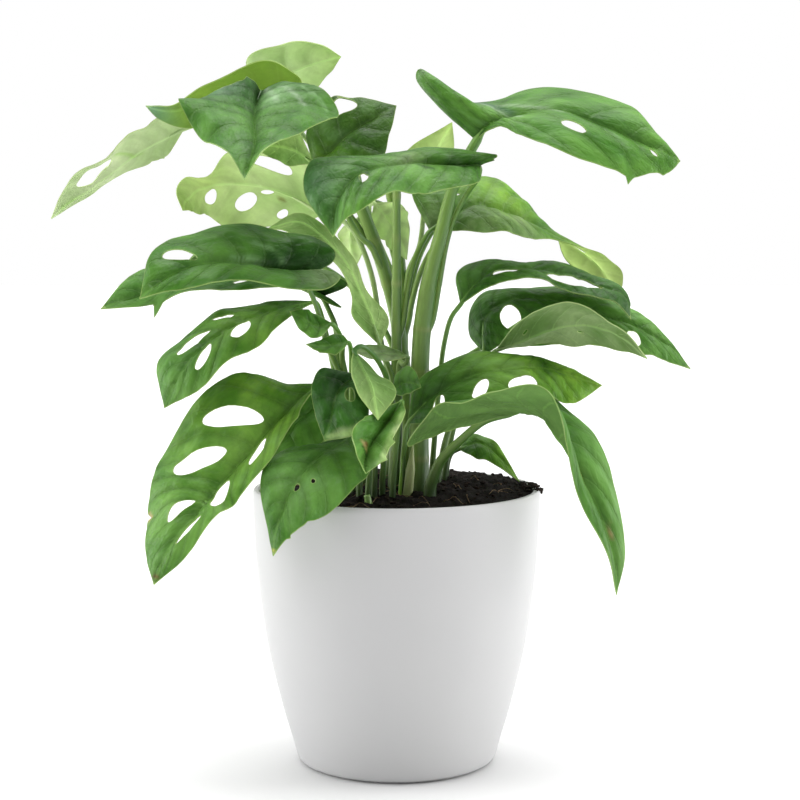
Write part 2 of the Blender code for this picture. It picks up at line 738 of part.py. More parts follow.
def soil_height(x, y):
    """Height of the soil's top: a low rise with crumbly bumps."""
    reach = min(math.hypot(x, y) / 66, 1)
    rise = SOIL_EDGE + SOIL_RISE * (1 - reach**2) + SOIL_BACK_RISE * y / 66 + SOIL_SIDE_RISE * (x / 66) ** 2
    return rise + 0.7 * math.sin(x * 0.37 + 1) * math.cos(y * 0.31) + 0.4 * math.sin(x * 0.9 - y * 0.7)


def shoot_points(name):
    return [seen(*point) for point in SHOOTS[name]["points"]]


def shoot_route(name, count=9):
    """A shoot's centre line: straight down into the soil, then smooth to its top."""
    points = shoot_points(name)
    foot = points[0]
    ground = soil_height(foot.x, foot.y)
    above = Vector((foot.x, foot.y, ground + 2.5))
    curve = [above] + points[1:]
    route = [Vector((foot.x, foot.y, ground - ROOT_DEPTH))]
    route += [along(curve, step / count) for step in range(count + 1)]
    return route


def taper(radii, count, flat=2):
    """Radii along a tube that keeps its first rings' width and then narrows evenly."""
    low, high = radii
    return [low + (high - low) * max(0, step - flat) / (count - 1 - flat) for step in range(count)]


def shoot_place(name, height):
    """Centre, direction and radius of a shoot at a height."""
    route = shoot_route(name)
    radii = taper(SHOOTS[name]["radii"], len(route))
    for index in range(len(route) - 1):
        low = route[index]
        high = route[index + 1]
        if low.z <= height <= high.z:
            part = (height - low.z) / (high.z - low.z)
            radius = radii[index] + (radii[index + 1] - radii[index]) * part
            return low.lerp(high, part), (high - low).normalized(), radius
    raise ValueError(name + " doesn't reach " + str(height))


def make_shoot(name):
    route = shoot_route(name)
    points, faces = tube(route, taper(SHOOTS[name]["radii"], len(route)), SHOOT_SIDES)
    return add_object(name, points, faces, "shoot")


def leaf_curves(leaf):
    """The midrib and both edges of a blade, each as points from the base to the tip."""
    base = seen(*leaf["base"])
    tip = seen(*leaf["tip"])
    midrib = [base] + [seen(*point) for point in leaf["midrib"]] + [tip]
    edges = []
    for side in ("left", "right"):
        edge = [base]
        for (across, up, behind), middle in zip(leaf[side], leaf["midrib"]):
            edge.append(seen(across, up, middle[2] + behind))
        edges.append(edge + [tip])
    return midrib, edges[0], edges[1]


def blade_normal(curves, place):
    """Upward direction of a blade's middle at a place along its midrib."""
    midrib, left, right = curves
    place = min(max(place, 0.08), 0.92)
    ahead = along(midrib, place + 0.03) - along(midrib, place - 0.03)
    return ahead.cross(along(left, place) - along(right, place)).normalized()


def blade_point(leaf, curves, place, side):
    """A point of the blade's middle surface; side is -1 at the left edge, 0 on the midrib, 1 at the right edge."""
    midrib, left, right = curves
    middle = along(midrib, place)
    edge = along(left if side < 0 else right, place)
    out = abs(side)
    lift = BLADE_ARCH * (edge - middle).length * 4 * out * (1 - out)
    turn = 2 * math.pi * WAVES * place + len(leaf["name"]) + side
    height = WAVE_HEIGHT * leaf.get("wave", 1)
    lift += height * math.sin(turn) * out**2 * math.sin(math.pi * place) * (edge - middle).length / 30
    return middle + (edge - middle) * out + blade_normal(curves, place) * lift


def hole_outline(hole, corners):
    """A blade's hole: a drop that starts near the midrib and slants towards the edge and the tip."""
    side, start, end, inner, outer, width = hole
    sign = -1 if side == "left" else 1
    ahead = Vector((end - start, (outer - inner) * SIDE_SCALE)).normalized()
    outline = []
    for corner in range(corners):
        turn = 2 * math.pi * corner / corners
        out = 0.5 - 0.5 * math.cos(turn)
        swell = width * math.sin(turn) * (0.75 + 0.35 * out)
        place = start + (end - start) * out + ahead.y * swell
        across = inner + (outer - inner) * out - ahead.x * swell / SIDE_SCALE
        outline.append((place, sign * across))
    return outline


def flat_place(place, side, length, width):
    """Where a blade point lies in the flat drawing that is cut into triangles."""
    spread = 1.6 * min(max(place, 0), 1) ** 0.5 * (1 - min(max(place, 0), 1)) ** 0.8
    return Vector((place * length, side * spread * width))


def blade_drawing(leaf, curves):
    """Cuts the blade's outline, with its holes, into triangles. Returns (place, side) pairs and triangles."""
    midrib, left, right = curves
    length = sum((along(midrib, (k + 1) / 8) - along(midrib, k / 8)).length for k in range(8))
    reach = max((along(left, k / 8) - along(right, k / 8)).length for k in range(1, 8))
    spans = len(midrib) - 1
    steps = spans * math.ceil((12 if length > 60 else 8) / spans)
    rim = [(0, 0)] + [(k / steps, -1) for k in range(1, steps)]
    rim += [(1, 0)] + [(k / steps, 1) for k in range(steps - 1, 0, -1)]
    pairs = list(rim)
    borders = [(k, (k + 1) % len(rim)) for k in range(len(rim))]
    holes = [hole_outline(hole, 8) for hole in leaf.get("holes", ())]
    for outline in holes:
        first = len(pairs)
        pairs += outline
        borders += [(first + k, first + (k + 1) % len(outline)) for k in range(len(outline))]
    for k in range(1, steps):
        pairs.append((k / steps, 0))
        if k % 2 == 0:
            for side in (-0.5, 0.5):
                if not any(inside(outline, (k / steps, side), 0.03) for outline in holes):
                    pairs.append((k / steps, side))
    drawn = [flat_place(place, side, length, reach / 2) for place, side in pairs]
    made = delaunay_2d_cdt(drawn, borders, [], 1, 1e-6)
    sources = [kept[0] for kept in made[3]]
    triangles = []
    for face in made[2]:
        corners = [sources[corner] for corner in face]
        middle = [sum(pairs[corner][axis] for corner in corners) / 3 for axis in (0, 1)]
        if not any(inside(outline, middle, 0) for outline in holes):
            triangles.append(corners)
    return pairs, triangles


def inside(outline, point, margin):
    """Whether a (place, side) point lies in a hole, or nearer to it than a margin."""
    x, y = point
    if margin and min(math.hypot(x - a, (y - b) * SIDE_SCALE) for a, b in outline) < margin:
        return True
    crossings = 0
    for (xa, ya), (xb, yb) in zip(outline, outline[1:] + outline[:1]):
        if (ya > y) != (yb > y) and x < xa + (xb - xa) * (y - ya) / (yb - ya):
            crossings += 1
    return crossings % 2 == 1


def blade_solid(leaf, curves):
    """Points and faces of a blade with its thickness: two skins cut alike, joined along the edges."""
    pairs, triangles = blade_drawing(leaf, curves)
    points = [blade_point(leaf, curves, place, side) for place, side in pairs]
    normals = [Vector((0, 0, 0)) for _ in points]
    for a, b, c in triangles:
        face_normal = (points[b] - points[a]).cross(points[c] - points[a])
        for corner in (a, b, c):
            normals[corner] += face_normal
    used = sorted({corner for triangle in triangles for corner in triangle})
    number = {corner: index for index, corner in enumerate(used)}
    half = BLADE_THICKNESS / 2
    skin = [points[corner] + normals[corner].normalized() * half for corner in used]
    skin += [points[corner] - normals[corner].normalized() * half for corner in used]
    count = len(used)
    faces = []
    sides = {}
    for triangle in triangles:
        a, b, c = [number[corner] for corner in triangle]
        faces.append((a, b, c))
        faces.append((c + count, b + count, a + count))
        for edge in ((a, b), (b, c), (c, a)):
            sides[edge] = True
    for a, b in sides:
        if (b, a) not in sides:
            faces.append((b, a, a + count))
            faces.append((b, a + count, b + count))
    return skin, faces


def stalk_route(leaf, curves, radii):
    """The centre line of a leaf's stalk, from where it stands to a little way under the midrib."""
    stalk = [seen(*point) for point in leaf["stalk"]][::-1]
    kind, place = leaf["root"]
    if kind == "soil":
        foot = seen(*place)
        ground = soil_height(foot.x, foot.y)
        start = [Vector((foot.x, foot.y, ground - ROOT_DEPTH))]
        curve = [Vector((foot.x, foot.y, ground + 2.5))]
    elif place == "top":
        route = shoot_route(kind)
        ahead = (route[-1] - route[-2]).normalized()
        start = []
        curve = [route[-1] + ahead * GAP, route[-1] + ahead * 5]
    else:
        centre, ahead, shoot_radius = shoot_place(kind, place)
        out = stalk[0] - centre
        out = (out - ahead * out.dot(ahead)).normalized()
        beside = centre + out * (shoot_radius + radii[0] + GAP)
        start = []
        curve = [beside, beside + ahead * CLASP]
    midrib = curves[0]
    under = blade_normal(curves, 0.1) * (radii[1] * 0.35)
    curve += stalk + [midrib[0], along(midrib, 0.07) - under, along(midrib, 0.14) - under * 0.6]
    return start + smooth_route(curve)


def make_leaf(leaf):
    curves = leaf_curves(leaf)
    points, faces = blade_solid(leaf, curves)
    blade = add_object(leaf["name"], points, faces, leaf["age"])
    radii = leaf.get("stalk_radii", STALK_RADII)
    route = stalk_route(leaf, curves, radii)
    widths = taper(radii, len(route))
    widths[-1] = 0.55
    points, faces = tube(route, widths, STALK_SIDES)
    stalk = add_object("stalk_of_" + leaf["name"], points, faces, leaf["age"])
    stalk.hide_render = True
    stalk.display_type = "WIRE"
    union = blade.modifiers.new("grown onto its stalk", "BOOLEAN")
    union.operation = "UNION"
    union.solver = "EXACT"
    union.object = stalk
    return blade


def make_soil():
    """The soil, with a plain hole for each shoot and each stalk that stands in it."""
    floor = POT_WALL + GAP
    profile = [(inner_radius(POT_WALL + 1) - 5, floor)]
    profile += [(inner_radius(height) - 0.3 - GAP - 0.1, height) for height in (12, 27, 57, 92, 122)]
    profile.append((66, SOIL_EDGE - 2.5))
    points = []
    faces = [list(range(POT_SIDES))[::-1]]
    rings = list(profile) + [(66 * share, None) for share in SOIL_RINGS]
    for radius, height in rings:
        for corner in range(POT_SIDES):
            turn = 2 * math.pi * (corner + 0.5) / POT_SIDES
            x = radius * math.cos(turn)
            y = radius * math.sin(turn)
            points.append((x, y, soil_height(x, y) if height is None else height))
    for ring in range(len(rings) - 1):
        for corner in range(POT_SIDES):
            after = (corner + 1) % POT_SIDES
            low = ring * POT_SIDES
            faces.append([low + corner, low + after, low + POT_SIDES + after, low + POT_SIDES + corner])
    points.append((0, 0, soil_height(0, 0)))
    last = len(points) - 1
    for corner in range(POT_SIDES):
        faces.append([last - POT_SIDES + corner, last - POT_SIDES + (corner + 1) % POT_SIDES, last])
    soil = add_object("soil", points, faces, "soil")
    plugs = [(shoot_route(name)[0], SHOOTS[name]["radii"][0], SHOOT_SIDES) for name in SHOOTS]
    for leaf in LEAVES:
        kind, place = leaf["root"]
        if kind == "soil":
            radii = leaf.get("stalk_radii", STALK_RADII)
            plugs.append((stalk_route(leaf, leaf_curves(leaf), radii)[0], radii[0], STALK_SIDES))
    plug_points = []
    plug_faces = []
    for foot, radius, sides in plugs:
        wide = (radius + GAP) / math.cos(math.pi / sides)
        low = Vector((foot.x, foot.y, foot.z - GAP))
        high = Vector((foot.x, foot.y, foot.z + 30))
        made, cut = tube([low, high], [wide, wide], sides)
        first = len(plug_points)
        plug_points += made
        plug_faces += [[first + corner for corner in face] for face in cut]
    cutter = add_object("soil_holes", plug_points, plug_faces, "soil")
    cutter.hide_render = True
    cutter.display_type = "WIRE"
    cut = soil.modifiers.new("holes for shoots and stalks", "BOOLEAN")
    cut.operation = "DIFFERENCE"
    cut.solver = "EXACT"
    cut.object = cutter
    return soil


def main():
    clear_scene()
    make_pot()
    make_soil()
    for name in SHOOTS:
        make_shoot(name)
    for leaf in LEAVES:
        make_leaf(leaf)


main()
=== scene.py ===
# Monstera adansonii in a round plastic pot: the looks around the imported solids.
# Sizes are in millimetres and become metres where a mesh is made. The plant's front looks along -Y.
import json
import math
import random
from itertools import product

import bpy
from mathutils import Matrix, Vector, noise
from mathutils.geometry import delaunay_2d_cdt

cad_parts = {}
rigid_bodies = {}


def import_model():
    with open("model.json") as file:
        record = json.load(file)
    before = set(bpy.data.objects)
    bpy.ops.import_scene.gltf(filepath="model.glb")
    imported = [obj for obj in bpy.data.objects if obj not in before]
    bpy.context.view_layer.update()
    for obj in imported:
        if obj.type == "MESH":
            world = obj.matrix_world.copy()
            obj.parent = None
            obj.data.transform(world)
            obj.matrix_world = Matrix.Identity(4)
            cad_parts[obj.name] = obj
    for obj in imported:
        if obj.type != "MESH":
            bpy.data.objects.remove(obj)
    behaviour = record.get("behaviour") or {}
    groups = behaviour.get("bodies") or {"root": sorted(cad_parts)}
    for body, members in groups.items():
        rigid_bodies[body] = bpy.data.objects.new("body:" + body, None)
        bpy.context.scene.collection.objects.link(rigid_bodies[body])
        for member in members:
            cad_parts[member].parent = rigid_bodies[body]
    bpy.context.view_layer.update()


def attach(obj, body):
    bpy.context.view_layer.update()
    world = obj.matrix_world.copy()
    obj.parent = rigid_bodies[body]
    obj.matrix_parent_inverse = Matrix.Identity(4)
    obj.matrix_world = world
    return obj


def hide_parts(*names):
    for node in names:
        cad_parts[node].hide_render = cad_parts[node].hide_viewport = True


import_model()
mm = 0.001

# The viewing point, which the shoots and leaves below are laid out from: a point holds how far across and how
# far up it shows on an upright plane through the pot's axis, and how far behind that axis it lies.
view = {"eye": Vector((1.7, -900, 262)), "lookDown": math.radians(5.4), "lens": 83.67}
sight = Vector((0, math.cos(view["lookDown"]), -math.sin(view["lookDown"])))
pictureUp = Vector((0, math.sin(view["lookDown"]), math.cos(view["lookDown"])))
pictureMiddle = view["eye"] + sight * (-view["eye"].y / math.cos(view["lookDown"]))

shoots = {
    "shoot_right": {
        "points": ((11, 131, -2), (11, 170, -1), (12, 206, 0), (15, 230, 0)),
        "radii": (5.0, 4.2),
    },
    "shoot_middle": {
        "points": ((-1, 131, 2), (0, 165, 2), (0, 205, 1), (0, 240, 0), (0, 275, 0), (1, 290, 0)),
        "radii": (3.3, 1.8),
    },
    "shoot_bright": {
        "points": ((5, 132, 14), (5, 176, 12), (1, 212, 9), (-6, 240, 8), (-16, 268, 8), (-22, 280, 8)),
        "radii": (3.6, 3.0),
    },
    "shoot_left": {
        "points": ((-15, 131, 4), (-20, 163, 0), (-25, 186, -3), (-28, 198, -5)),
        "radii": (2.8, 2.2),
    },
    "shoot_back": {
        "points": ((-4, 134, 30), (2, 180, 34), (3, 225, 38), (0, 262, 42), (-6, 290, 44)),
        "radii": (3.4, 2.2),
    },
}

leaves = {
    "leaf_upper_right": {
        "age": "mature", "base": (39, 303, -5), "tip": (138, 293, -24),
        "left": (
            (21, 319, 8), (10, 332, 12), (13, 337, 16), (25, 325, 20), (42, 322, 24), (65, 327, 28),
            (91, 326, 26), (114, 321, 18), (126, 307, 10), (134, 298, 4),
        ),
        "midrib": (
            (41, 307, -6), (44, 310, -7), (47, 312, -8), (50, 314, -8), (56, 315, -9), (78, 318, -13),
            (102, 310, -18), (118, 303, -21), (129, 298, -23), (135, 295, -24),
        ),
        "right": (
            (43, 307, -4), (47, 309, -6), (51, 310, -8), (56, 308, -12), (64, 303, -18),
            (83, 296, -24), (105, 291, -20), (114, 285, -16), (126, 287, -8), (133, 288, -6),
        ),
        "holes": (("right", 0.56, 0.57, 0.33, 0.57, 0.022), ("right", 0.77, 0.8, 0.16, 0.42, 0.01)),
        "stalk": ((36, 298, -4), (27, 279, 0), (22, 259, 0)),
        "root": ("shoot_right", "top"),
        "stalkRadii": (3.9, 2.2),
    },
    "leaf_upper_middle": {
        "age": "mature", "base": (41, 291, -15), "tip": (-31, 256, -68),
        "left": ((39, 282, -14), (19, 279, -18), (0, 277, -20), (-17, 270, -16), (-26, 263, -8)),
        "midrib": ((27, 291, -22), (11, 292, -30), (-3, 291, -38), (-19, 286, -48), (-29, 272, -60)),
        "right": ((48, 296, 8), (21, 300, 14), (-5, 296, 14), (-37, 295, 12), (-45, 279, 6)),
        "holes": (("left", 0.65, 0.63, 0.08, 0.38, 0.022),),
        "stalk": ((40, 285, -8), (34, 277, 2), (27, 263, 3), (23, 247, 4)),
        "root": ("shoot_right", 214),
    },
    "leaf_upper_left_front": {
        "age": "mature", "base": (-66, 327, -2), "tip": (-74, 284, -82),
        "left": ((-52, 332, 3), (-38, 327, 8), (-28, 318, 12), (-43, 307, 8), (-62, 301, 2)),
        "midrib": ((-68, 322, -14), (-69, 316, -28), (-69, 310, -42), (-69, 302, -58), (-71, 293, -72)),
        "right": ((-72, 333, 3), (-90, 326, 8), (-106, 322, 10), (-96, 306, 8), (-82, 297, 2)),
        "stalk": ((-65, 326, 6), (-47, 314, 12), (-30, 294, 12)),
        "root": ("shoot_bright", "top"),
    },
    "leaf_upper_left_olive": {
        "age": "young", "base": (-45, 324, 20), "tip": (-122, 320, 14),
        "left": ((-48, 335, -8), (-65, 341, -12), (-92, 331, -8), (-107, 321, -2), (-116, 320, -2)),
        "midrib": ((-62, 324, 22), (-78, 324, 22), (-93, 322, 20), (-106, 318, 16), (-115, 318, 15)),
        "right": ((-61, 315, 8), (-76, 313, 8), (-90, 311, 6), (-102, 309, 4), (-115, 313, 4)),
        "stalk": ((-41, 321, 20), (-30, 311, 20), (-20, 291, 18)),
        "root": ("shoot_bright", 266),
    },
    "leaf_top_lime": {
        "age": "new", "base": (-67, 325, 42), "tip": (-27, 344, 64),
        "left": ((-56, 324, 14), (-44, 325, 14), (-33, 335, 8)),
        "midrib": ((-58, 333, 48), (-47, 338, 54), (-35, 342, 60)),
        "right": ((-73, 341, -12), (-57, 350, -14), (-38, 350, -8)),
        "stalk": ((-63, 321, 38), (-47, 308, 36), (-25, 286, 36)),
        "root": ("shoot_back", "top"),
    },
    "leaf_far_left": {
        "age": "young", "base": (-103, 309, 36), "tip": (-168, 265, 38),
        "left": (
            (-115, 314, -14), (-126, 308, -16), (-138, 298, -16), (-152, 289, -14), (-162, 279, -8),
        ),
        "midrib": ((-113, 304, 38), (-124, 298, 39), (-135, 290, 40), (-148, 280, 40), (-159, 273, 39)),
        "right": ((-110, 298, 8), (-116, 293, 10), (-132, 288, 8), (-145, 279, 8), (-155, 273, 5)),
        "holes": (("left", 0.52, 0.74, 0.5, 0.34, 0.1),),
        "stalk": ((-93, 312, 36), (-66, 306, 37), (-37, 286, 38), (-14, 267, 38)),
        "root": ("shoot_back", 246),
    },
    "leaf_pale_left": {
        "age": "new", "base": (-36, 267, 20), "tip": (-104, 269, 25),
        "left": (
            (-44, 295, -6), (-65, 299, -8), (-82, 297, -8), (-90, 287, -6), (-96, 285, -5),
            (-102, 285, -5), (-106, 282, -4), (-107, 277, -3),
        ),
        "midrib": (
            (-47, 274, 22), (-62, 280, 24), (-76, 282, 26), (-86, 282, 26), (-94, 280, 26),
            (-98, 278, 26), (-101, 275, 26), (-103, 273, 25),
        ),
        "right": (
            (-47, 262, 6), (-61, 261, 8), (-74, 260, 8), (-84, 262, 6), (-91, 266, 5), (-95, 267, 4),
            (-98, 268, 4), (-100, 269, 3),
        ),
        "holes": (
            ("left", 0.16, 0.27, 0.4, 0.8, 0.055), ("right", 0.49, 0.54, 0.1, 0.6, 0.046),
            ("right", 0.29, 0.35, 0.2, 0.64, 0.044), ("right", 0.21, 0.25, 0.04, 0.22, 0.021),
            ("right", 0.17, 0.19, 0.52, 0.8, 0.02),
        ),
        "stalk": (
            (-29, 266, 16), (-22, 261, 9), (-15, 247, 4), (-11, 233, 1), (-9, 219, 0), (-8, 206, 0),
        ),
        "root": ("shoot_middle", 186),
    },
    "leaf_upper_centre": {
        "age": "mature", "base": (-41, 291, 2), "tip": (0, 320, 6),
        "left": ((-43, 309, 10), (-32, 323, 12), (-19, 324, 8)),
        "midrib": ((-32, 298, 0), (-22, 307, 0), (-10, 314, 2)),
        "right": ((-22, 290, -8), (-8, 294, -10), (-3, 307, -6)),
        "holes": (("left", 0.44, 0.69, 0.58, 0.74, 0.098),),
        "stalk": ((-38, 286, 2), (-27, 272, -2), (-17, 255, -4)),
        "root": ("shoot_bright", 246),
    },
    "leaf_behind_front_left": {
        "age": "shade", "base": (-40, 292, 12), "tip": (-76, 303, 6),
        "left": ((-49, 308, -6), (-62, 310, -6)),
        "midrib": ((-51, 299, 10), (-63, 301, 8)),
        "right": ((-52, 291, 6), (-63, 296, 5)),
        "stalk": ((-35, 286, 12), (-25, 270, 12)),
        "root": ("shoot_bright", 254),
    },
    "leaf_pale_top_middle": {
        "age": "new", "base": (14, 275, 36), "tip": (27, 312, 48),
        "left": ((26, 288, 4), (28, 300, 4)),
        "midrib": ((14, 288, 40), (20, 299, 44)),
        "right": ((2, 291, 4), (7, 300, 4)),
        "stalk": ((13, 267, 34), (11, 250, 34)),
        "root": ("shoot_back", 232),
    },
    "leaf_right": {
        "age": "mature", "base": (16, 259, 8), "tip": (91, 251, 28),
        "left": ((8, 280, 14), (31, 284, 22), (46, 285, 24), (62, 274, 18), (75, 260, 10)),
        "midrib": ((27, 267, 12), (39, 272, 16), (52, 269, 19), (64, 264, 22), (76, 257, 26)),
        "right": ((25, 259, -6), (42, 259, -14), (56, 258, -14), (67, 255, -10), (76, 255, -4)),
        "holes": (("left", 0.2, 0.28, 0.24, 0.36, 0.012),),
        "stalk": ((14, 256, 6), (8, 243, 2)),
        "root": ("shoot_middle", 214),
        "wave": 0.3,
    },
    "leaf_right_lime": {
        "age": "new", "base": (78, 257, 38), "tip": (108, 223, 42),
        "left": ((81, 248, -4), (88, 239, -5), (99, 231, -4)),
        "midrib": ((88, 250, 42), (97, 243, 44), (104, 233, 44)),
        "right": ((92, 251, 4), (103, 246, 5), (110, 237, 4)),
        "holes": (("right", 0.15, 0.32, 0.1, 0.38, 0.055),),
        "stalk": ((60, 262, 38), (36, 266, 36), (20, 255, 34)),
        "root": ("shoot_back", 214),
    },
    "leaf_right_curled": {
        "age": "mature", "base": (31, 223, 12), "tip": (114, 216, 10),
        "left": (
            (30, 239, 8), (46, 245, 12), (64, 244, 14), (81, 243, 16), (96, 238, 14), (111, 230, 8),
        ),
        "midrib": (
            (38, 233, 14), (49, 240, 18), (68, 240, 21), (84, 238, 22), (97, 233, 20), (111, 227, 16),
        ),
        "right": (
            (40, 229, -6), (50, 234, -10), (66, 236, -10), (80, 232, -12), (95, 227, -12),
            (107, 224, -8),
        ),
        "holes": (("right", 0.37, 0.28, 0.04, 0.5, 0.05), ("right", 0.74, 0.5, 0.16, 0.74, 0.09)),
        "stalk": ((26, 217, 11), (23, 204, 12), (21, 187, 14)),
        "root": ("soil", (17, 141, 16)),
    },
    "leaf_right_broad": {
        "age": "mature", "base": (43, 199, 20), "tip": (143, 192, 10),
        "left": ((35, 211, 8), (43, 229, 14), (74, 232, 16), (109, 224, 12), (127, 212, 8)),
        "midrib": ((43, 217, 24), (59, 227, 26), (87, 223, 24), (115, 213, 18), (131, 204, 14)),
        "right": ((51, 203, -8), (65, 204, -10), (94, 203, -10), (117, 200, -8), (130, 196, -6)),
        "holes": (("right", 0.28, 0.28, 0.14, 0.7, 0.046), ("right", 0.66, 0.66, 0.3, 0.78, 0.03)),
        "stalk": ((39, 193, 22), (30, 172, 24)),
        "root": ("soil", (23, 141, 26)),
    },
    "leaf_right_grey": {
        "age": "shade", "base": (48, 201, 2), "tip": (122, 197, -18),
        "left": ((61, 203, 8), (78, 204, 10), (95, 203, 10), (110, 201, 6)),
        "midrib": ((60, 205, -6), (78, 212, -14), (95, 213, -18), (110, 207, -18)),
        "right": ((58, 213, -8), (76, 224, -14), (95, 220, -14), (111, 210, -8)),
        "holes": (("right", 0.23, 0.25, 0.18, 0.32, 0.012), ("left", 0.52, 0.54, 0.38, 0.52, 0.015)),
        "stalk": ((43, 196, 6), (33, 179, 10), (24, 159, 12)),
        "root": ("soil", (20, 140, 10)),
    },
    "leaf_right_low": {
        "age": "mature", "base": (5, 165, -16), "tip": (100, 184, -18),
        "left": ((11, 187, 6), (32, 198, 14), (57, 200, 16), (69, 197, 13), (83, 193, 10)),
        "midrib": ((17, 178, -20), (40, 190, -22), (64, 193, -22), (75, 192, -21), (88, 188, -20)),
        "right": ((21, 167, -8), (46, 177, -12), (66, 180, -10), (78, 177, -9), (88, 176, -7)),
        "holes": (
            ("right", 0.2, 0.17, 0.16, 0.8, 0.026), ("right", 0.34, 0.3, 0.32, 0.86, 0.028),
            ("right", 0.47, 0.47, 0.42, 0.9, 0.066),
        ),
        "stalk": ((4, 157, -15), (3, 148, -12)),
        "root": ("soil", (3, 137, -12)),
    },
    "leaf_right_arching": {
        "age": "mature", "base": (50, 169, -30), "tip": (107, 82, -58),
        "left": (
            (49, 173, 12), (55, 176, 16), (64, 178, 18), (72, 178, 18), (79, 175, 18), (96, 162, 12),
            (105, 136, 8), (111, 105, 4),
        ),
        "midrib": (
            (56, 170, -32), (61, 171, -34), (66, 170, -36), (70, 169, -38), (74, 165, -40),
            (82, 153, -46), (96, 128, -52), (105, 103, -56),
        ),
        "right": (
            (28, 162, -6), (5, 157, -8), (16, 169, -12), (31, 175, -13), (50, 183, -14), (74, 179, -6),
            (88, 131, -6), (102, 103, -4),
        ),
        "stalk": ((43, 167, -28), (32, 158, -24), (21, 147, -20)),
        "root": ("soil", (16, 135, -18)),
        "stalkRadii": (3.0, 1.4),
    },
    "leaf_low_behind": {
        "age": "mature", "base": (30, 153, 30), "tip": (60, 137, 17),
        "left": ((38, 160, 6), (49, 155, 5)),
        "midrib": ((40, 156, 28), (49, 150, 24)),
        "right": ((38, 149, -6), (47, 146, -5)),
        "stalk": ((26, 151, 30),),
        "root": ("soil", (24, 144, 32)),
    },
    "leaf_small_middle": {
        "age": "mature", "base": (-3, 180, -26), "tip": (12, 183, -26),
        "left": ((1, 191, 6), (8, 192, 6)),
        "midrib": ((3, 185, -28), (8, 185, -28)),
        "right": ((3, 179, -5), (8, 181, -5)),
        "stalk": ((-5, 174, -26), (-6, 157, -20)),
        "root": ("soil", (-7, 137, -16)),
    },
    "leaf_front_dark": {
        "age": "mature", "base": (-17, 189, -44), "tip": (-35, 157, -66),
        "left": ((-14, 180, -4), (-14, 169, -6), (-21, 160, -4)),
        "midrib": ((-25, 185, -50), (-30, 177, -58), (-32, 167, -64)),
        "right": ((-36, 192, 6), (-41, 184, 8), (-40, 172, 6)),
        "holes": (("left", 0.3, 0.46, 0.28, 0.45, 0.062),),
        "stalk": ((-13, 190, -38), (-10, 181, -28), (-10, 157, -20)),
        "root": ("soil", (-11, 136, -18)),
    },
    "leaf_front_cupped": {
        "age": "mature", "base": (3, 177, -46), "tip": (-15, 141, -74),
        "left": ((4, 170, -4), (-2, 158, -6), (-6, 148, -6)),
        "midrib": ((-4, 167, -56), (-11, 157, -66), (-15, 149, -72)),
        "right": ((-12, 170, -8), (-21, 163, -10), (-20, 152, -8)),
        "stalk": ((2, 172, -34), (0, 157, -26)),
        "root": ("soil", (-2, 135, -22)),
    },
    "leaf_front_low": {
        "age": "mature", "base": (-19, 162, -38), "tip": (-60, 101, -86),
        "left": ((-12, 147, -8), (-19, 135, -10), (-31, 124, -8), (-46, 115, -6), (-54, 109, -3)),
        "midrib": ((-27, 156, -46), (-38, 149, -56), (-48, 138, -68), (-55, 124, -78), (-59, 111, -84)),
        "right": ((-38, 155, 4), (-53, 153, 8), (-63, 147, 10), (-66, 132, 8), (-62, 112, 4)),
        "holes": (("left", 0.52, 0.55, 0.02, 0.14, 0.022), ("left", 0.46, 0.47, 0.26, 0.36, 0.012)),
        "stalk": ((-15, 160, -34), (-13, 150, -30)),
        "root": ("soil", (-14, 134, -28)),
    },
    "leaf_left_big": {
        "age": "mature", "base": (-36, 185, -30), "tip": (-118, 87, -80),
        "left": (
            (-43, 178, -2), (-53, 162, -6), (-63, 145, -8), (-76, 130, -8), (-82, 124, -7),
            (-90, 118, -6), (-104, 99, -3),
        ),
        "midrib": (
            (-47, 177, -36), (-60, 164, -46), (-73, 149, -56), (-85, 136, -64), (-91, 129, -67),
            (-97, 122, -70), (-111, 104, -76),
        ),
        "right": (
            (-53, 185, 12), (-75, 190, 18), (-98, 175, 20), (-113, 153, 18), (-117, 139, 16),
            (-121, 125, 14), (-122, 104, 8),
        ),
        "holes": (
            ("right", 0.27, 0.39, 0.15, 0.72, 0.037), ("right", 0.41, 0.57, 0.2, 0.68, 0.046),
            ("right", 0.69, 0.79, 0.14, 0.44, 0.033), ("left", 0.31, 0.38, 0.1, 0.5, 0.042),
            ("left", 0.49, 0.65, 0.06, 0.62, 0.085), ("left", 0.76, 0.84, 0.44, 0.16, 0.034),
        ),
        "stalk": ((-30, 184, -27), (-24, 172, -24), (-19, 153, -22)),
        "root": ("soil", (-18, 135, -22)),
    },
    "leaf_left_dark": {
        "age": "mature", "base": (-29, 178, -10), "tip": (-66, 147, -28),
        "left": ((-28, 168, -4), (-37, 156, -4), (-48, 150, -3)),
        "midrib": ((-39, 174, -15), (-49, 165, -22), (-57, 155, -26)),
        "right": ((-47, 184, 6), (-58, 172, 6), (-63, 159, 4)),
        "stalk": ((-25, 173, -8), (-22, 161, -7)),
        "root": ("soil", (-21, 138, -8)),
    },
    "leaf_left_upper": {
        "age": "mature", "base": (-47, 236, -26), "tip": (-125, 226, -62),
        "left": ((-27, 238, -6), (-38, 229, -10), (-65, 235, -14), (-90, 233, -12), (-110, 230, -6)),
        "midrib": (
            (-53, 238, -30), (-62, 241, -36), (-76, 243, -44), (-93, 243, -52), (-110, 237, -58),
        ),
        "right": ((-30, 246, 8), (-45, 258, 16), (-71, 261, 22), (-99, 259, 20), (-118, 249, 12)),
        "holes": (("right", 0.7, 0.81, 0.12, 0.62, 0.036),),
        "stalk": ((-43, 232, -25), (-39, 223, -24), (-34, 204, -18)),
        "root": ("shoot_left", 184),
    },
    "leaf_left_under": {
        "age": "mature", "base": (-36, 227, -2), "tip": (-144, 221, -16),
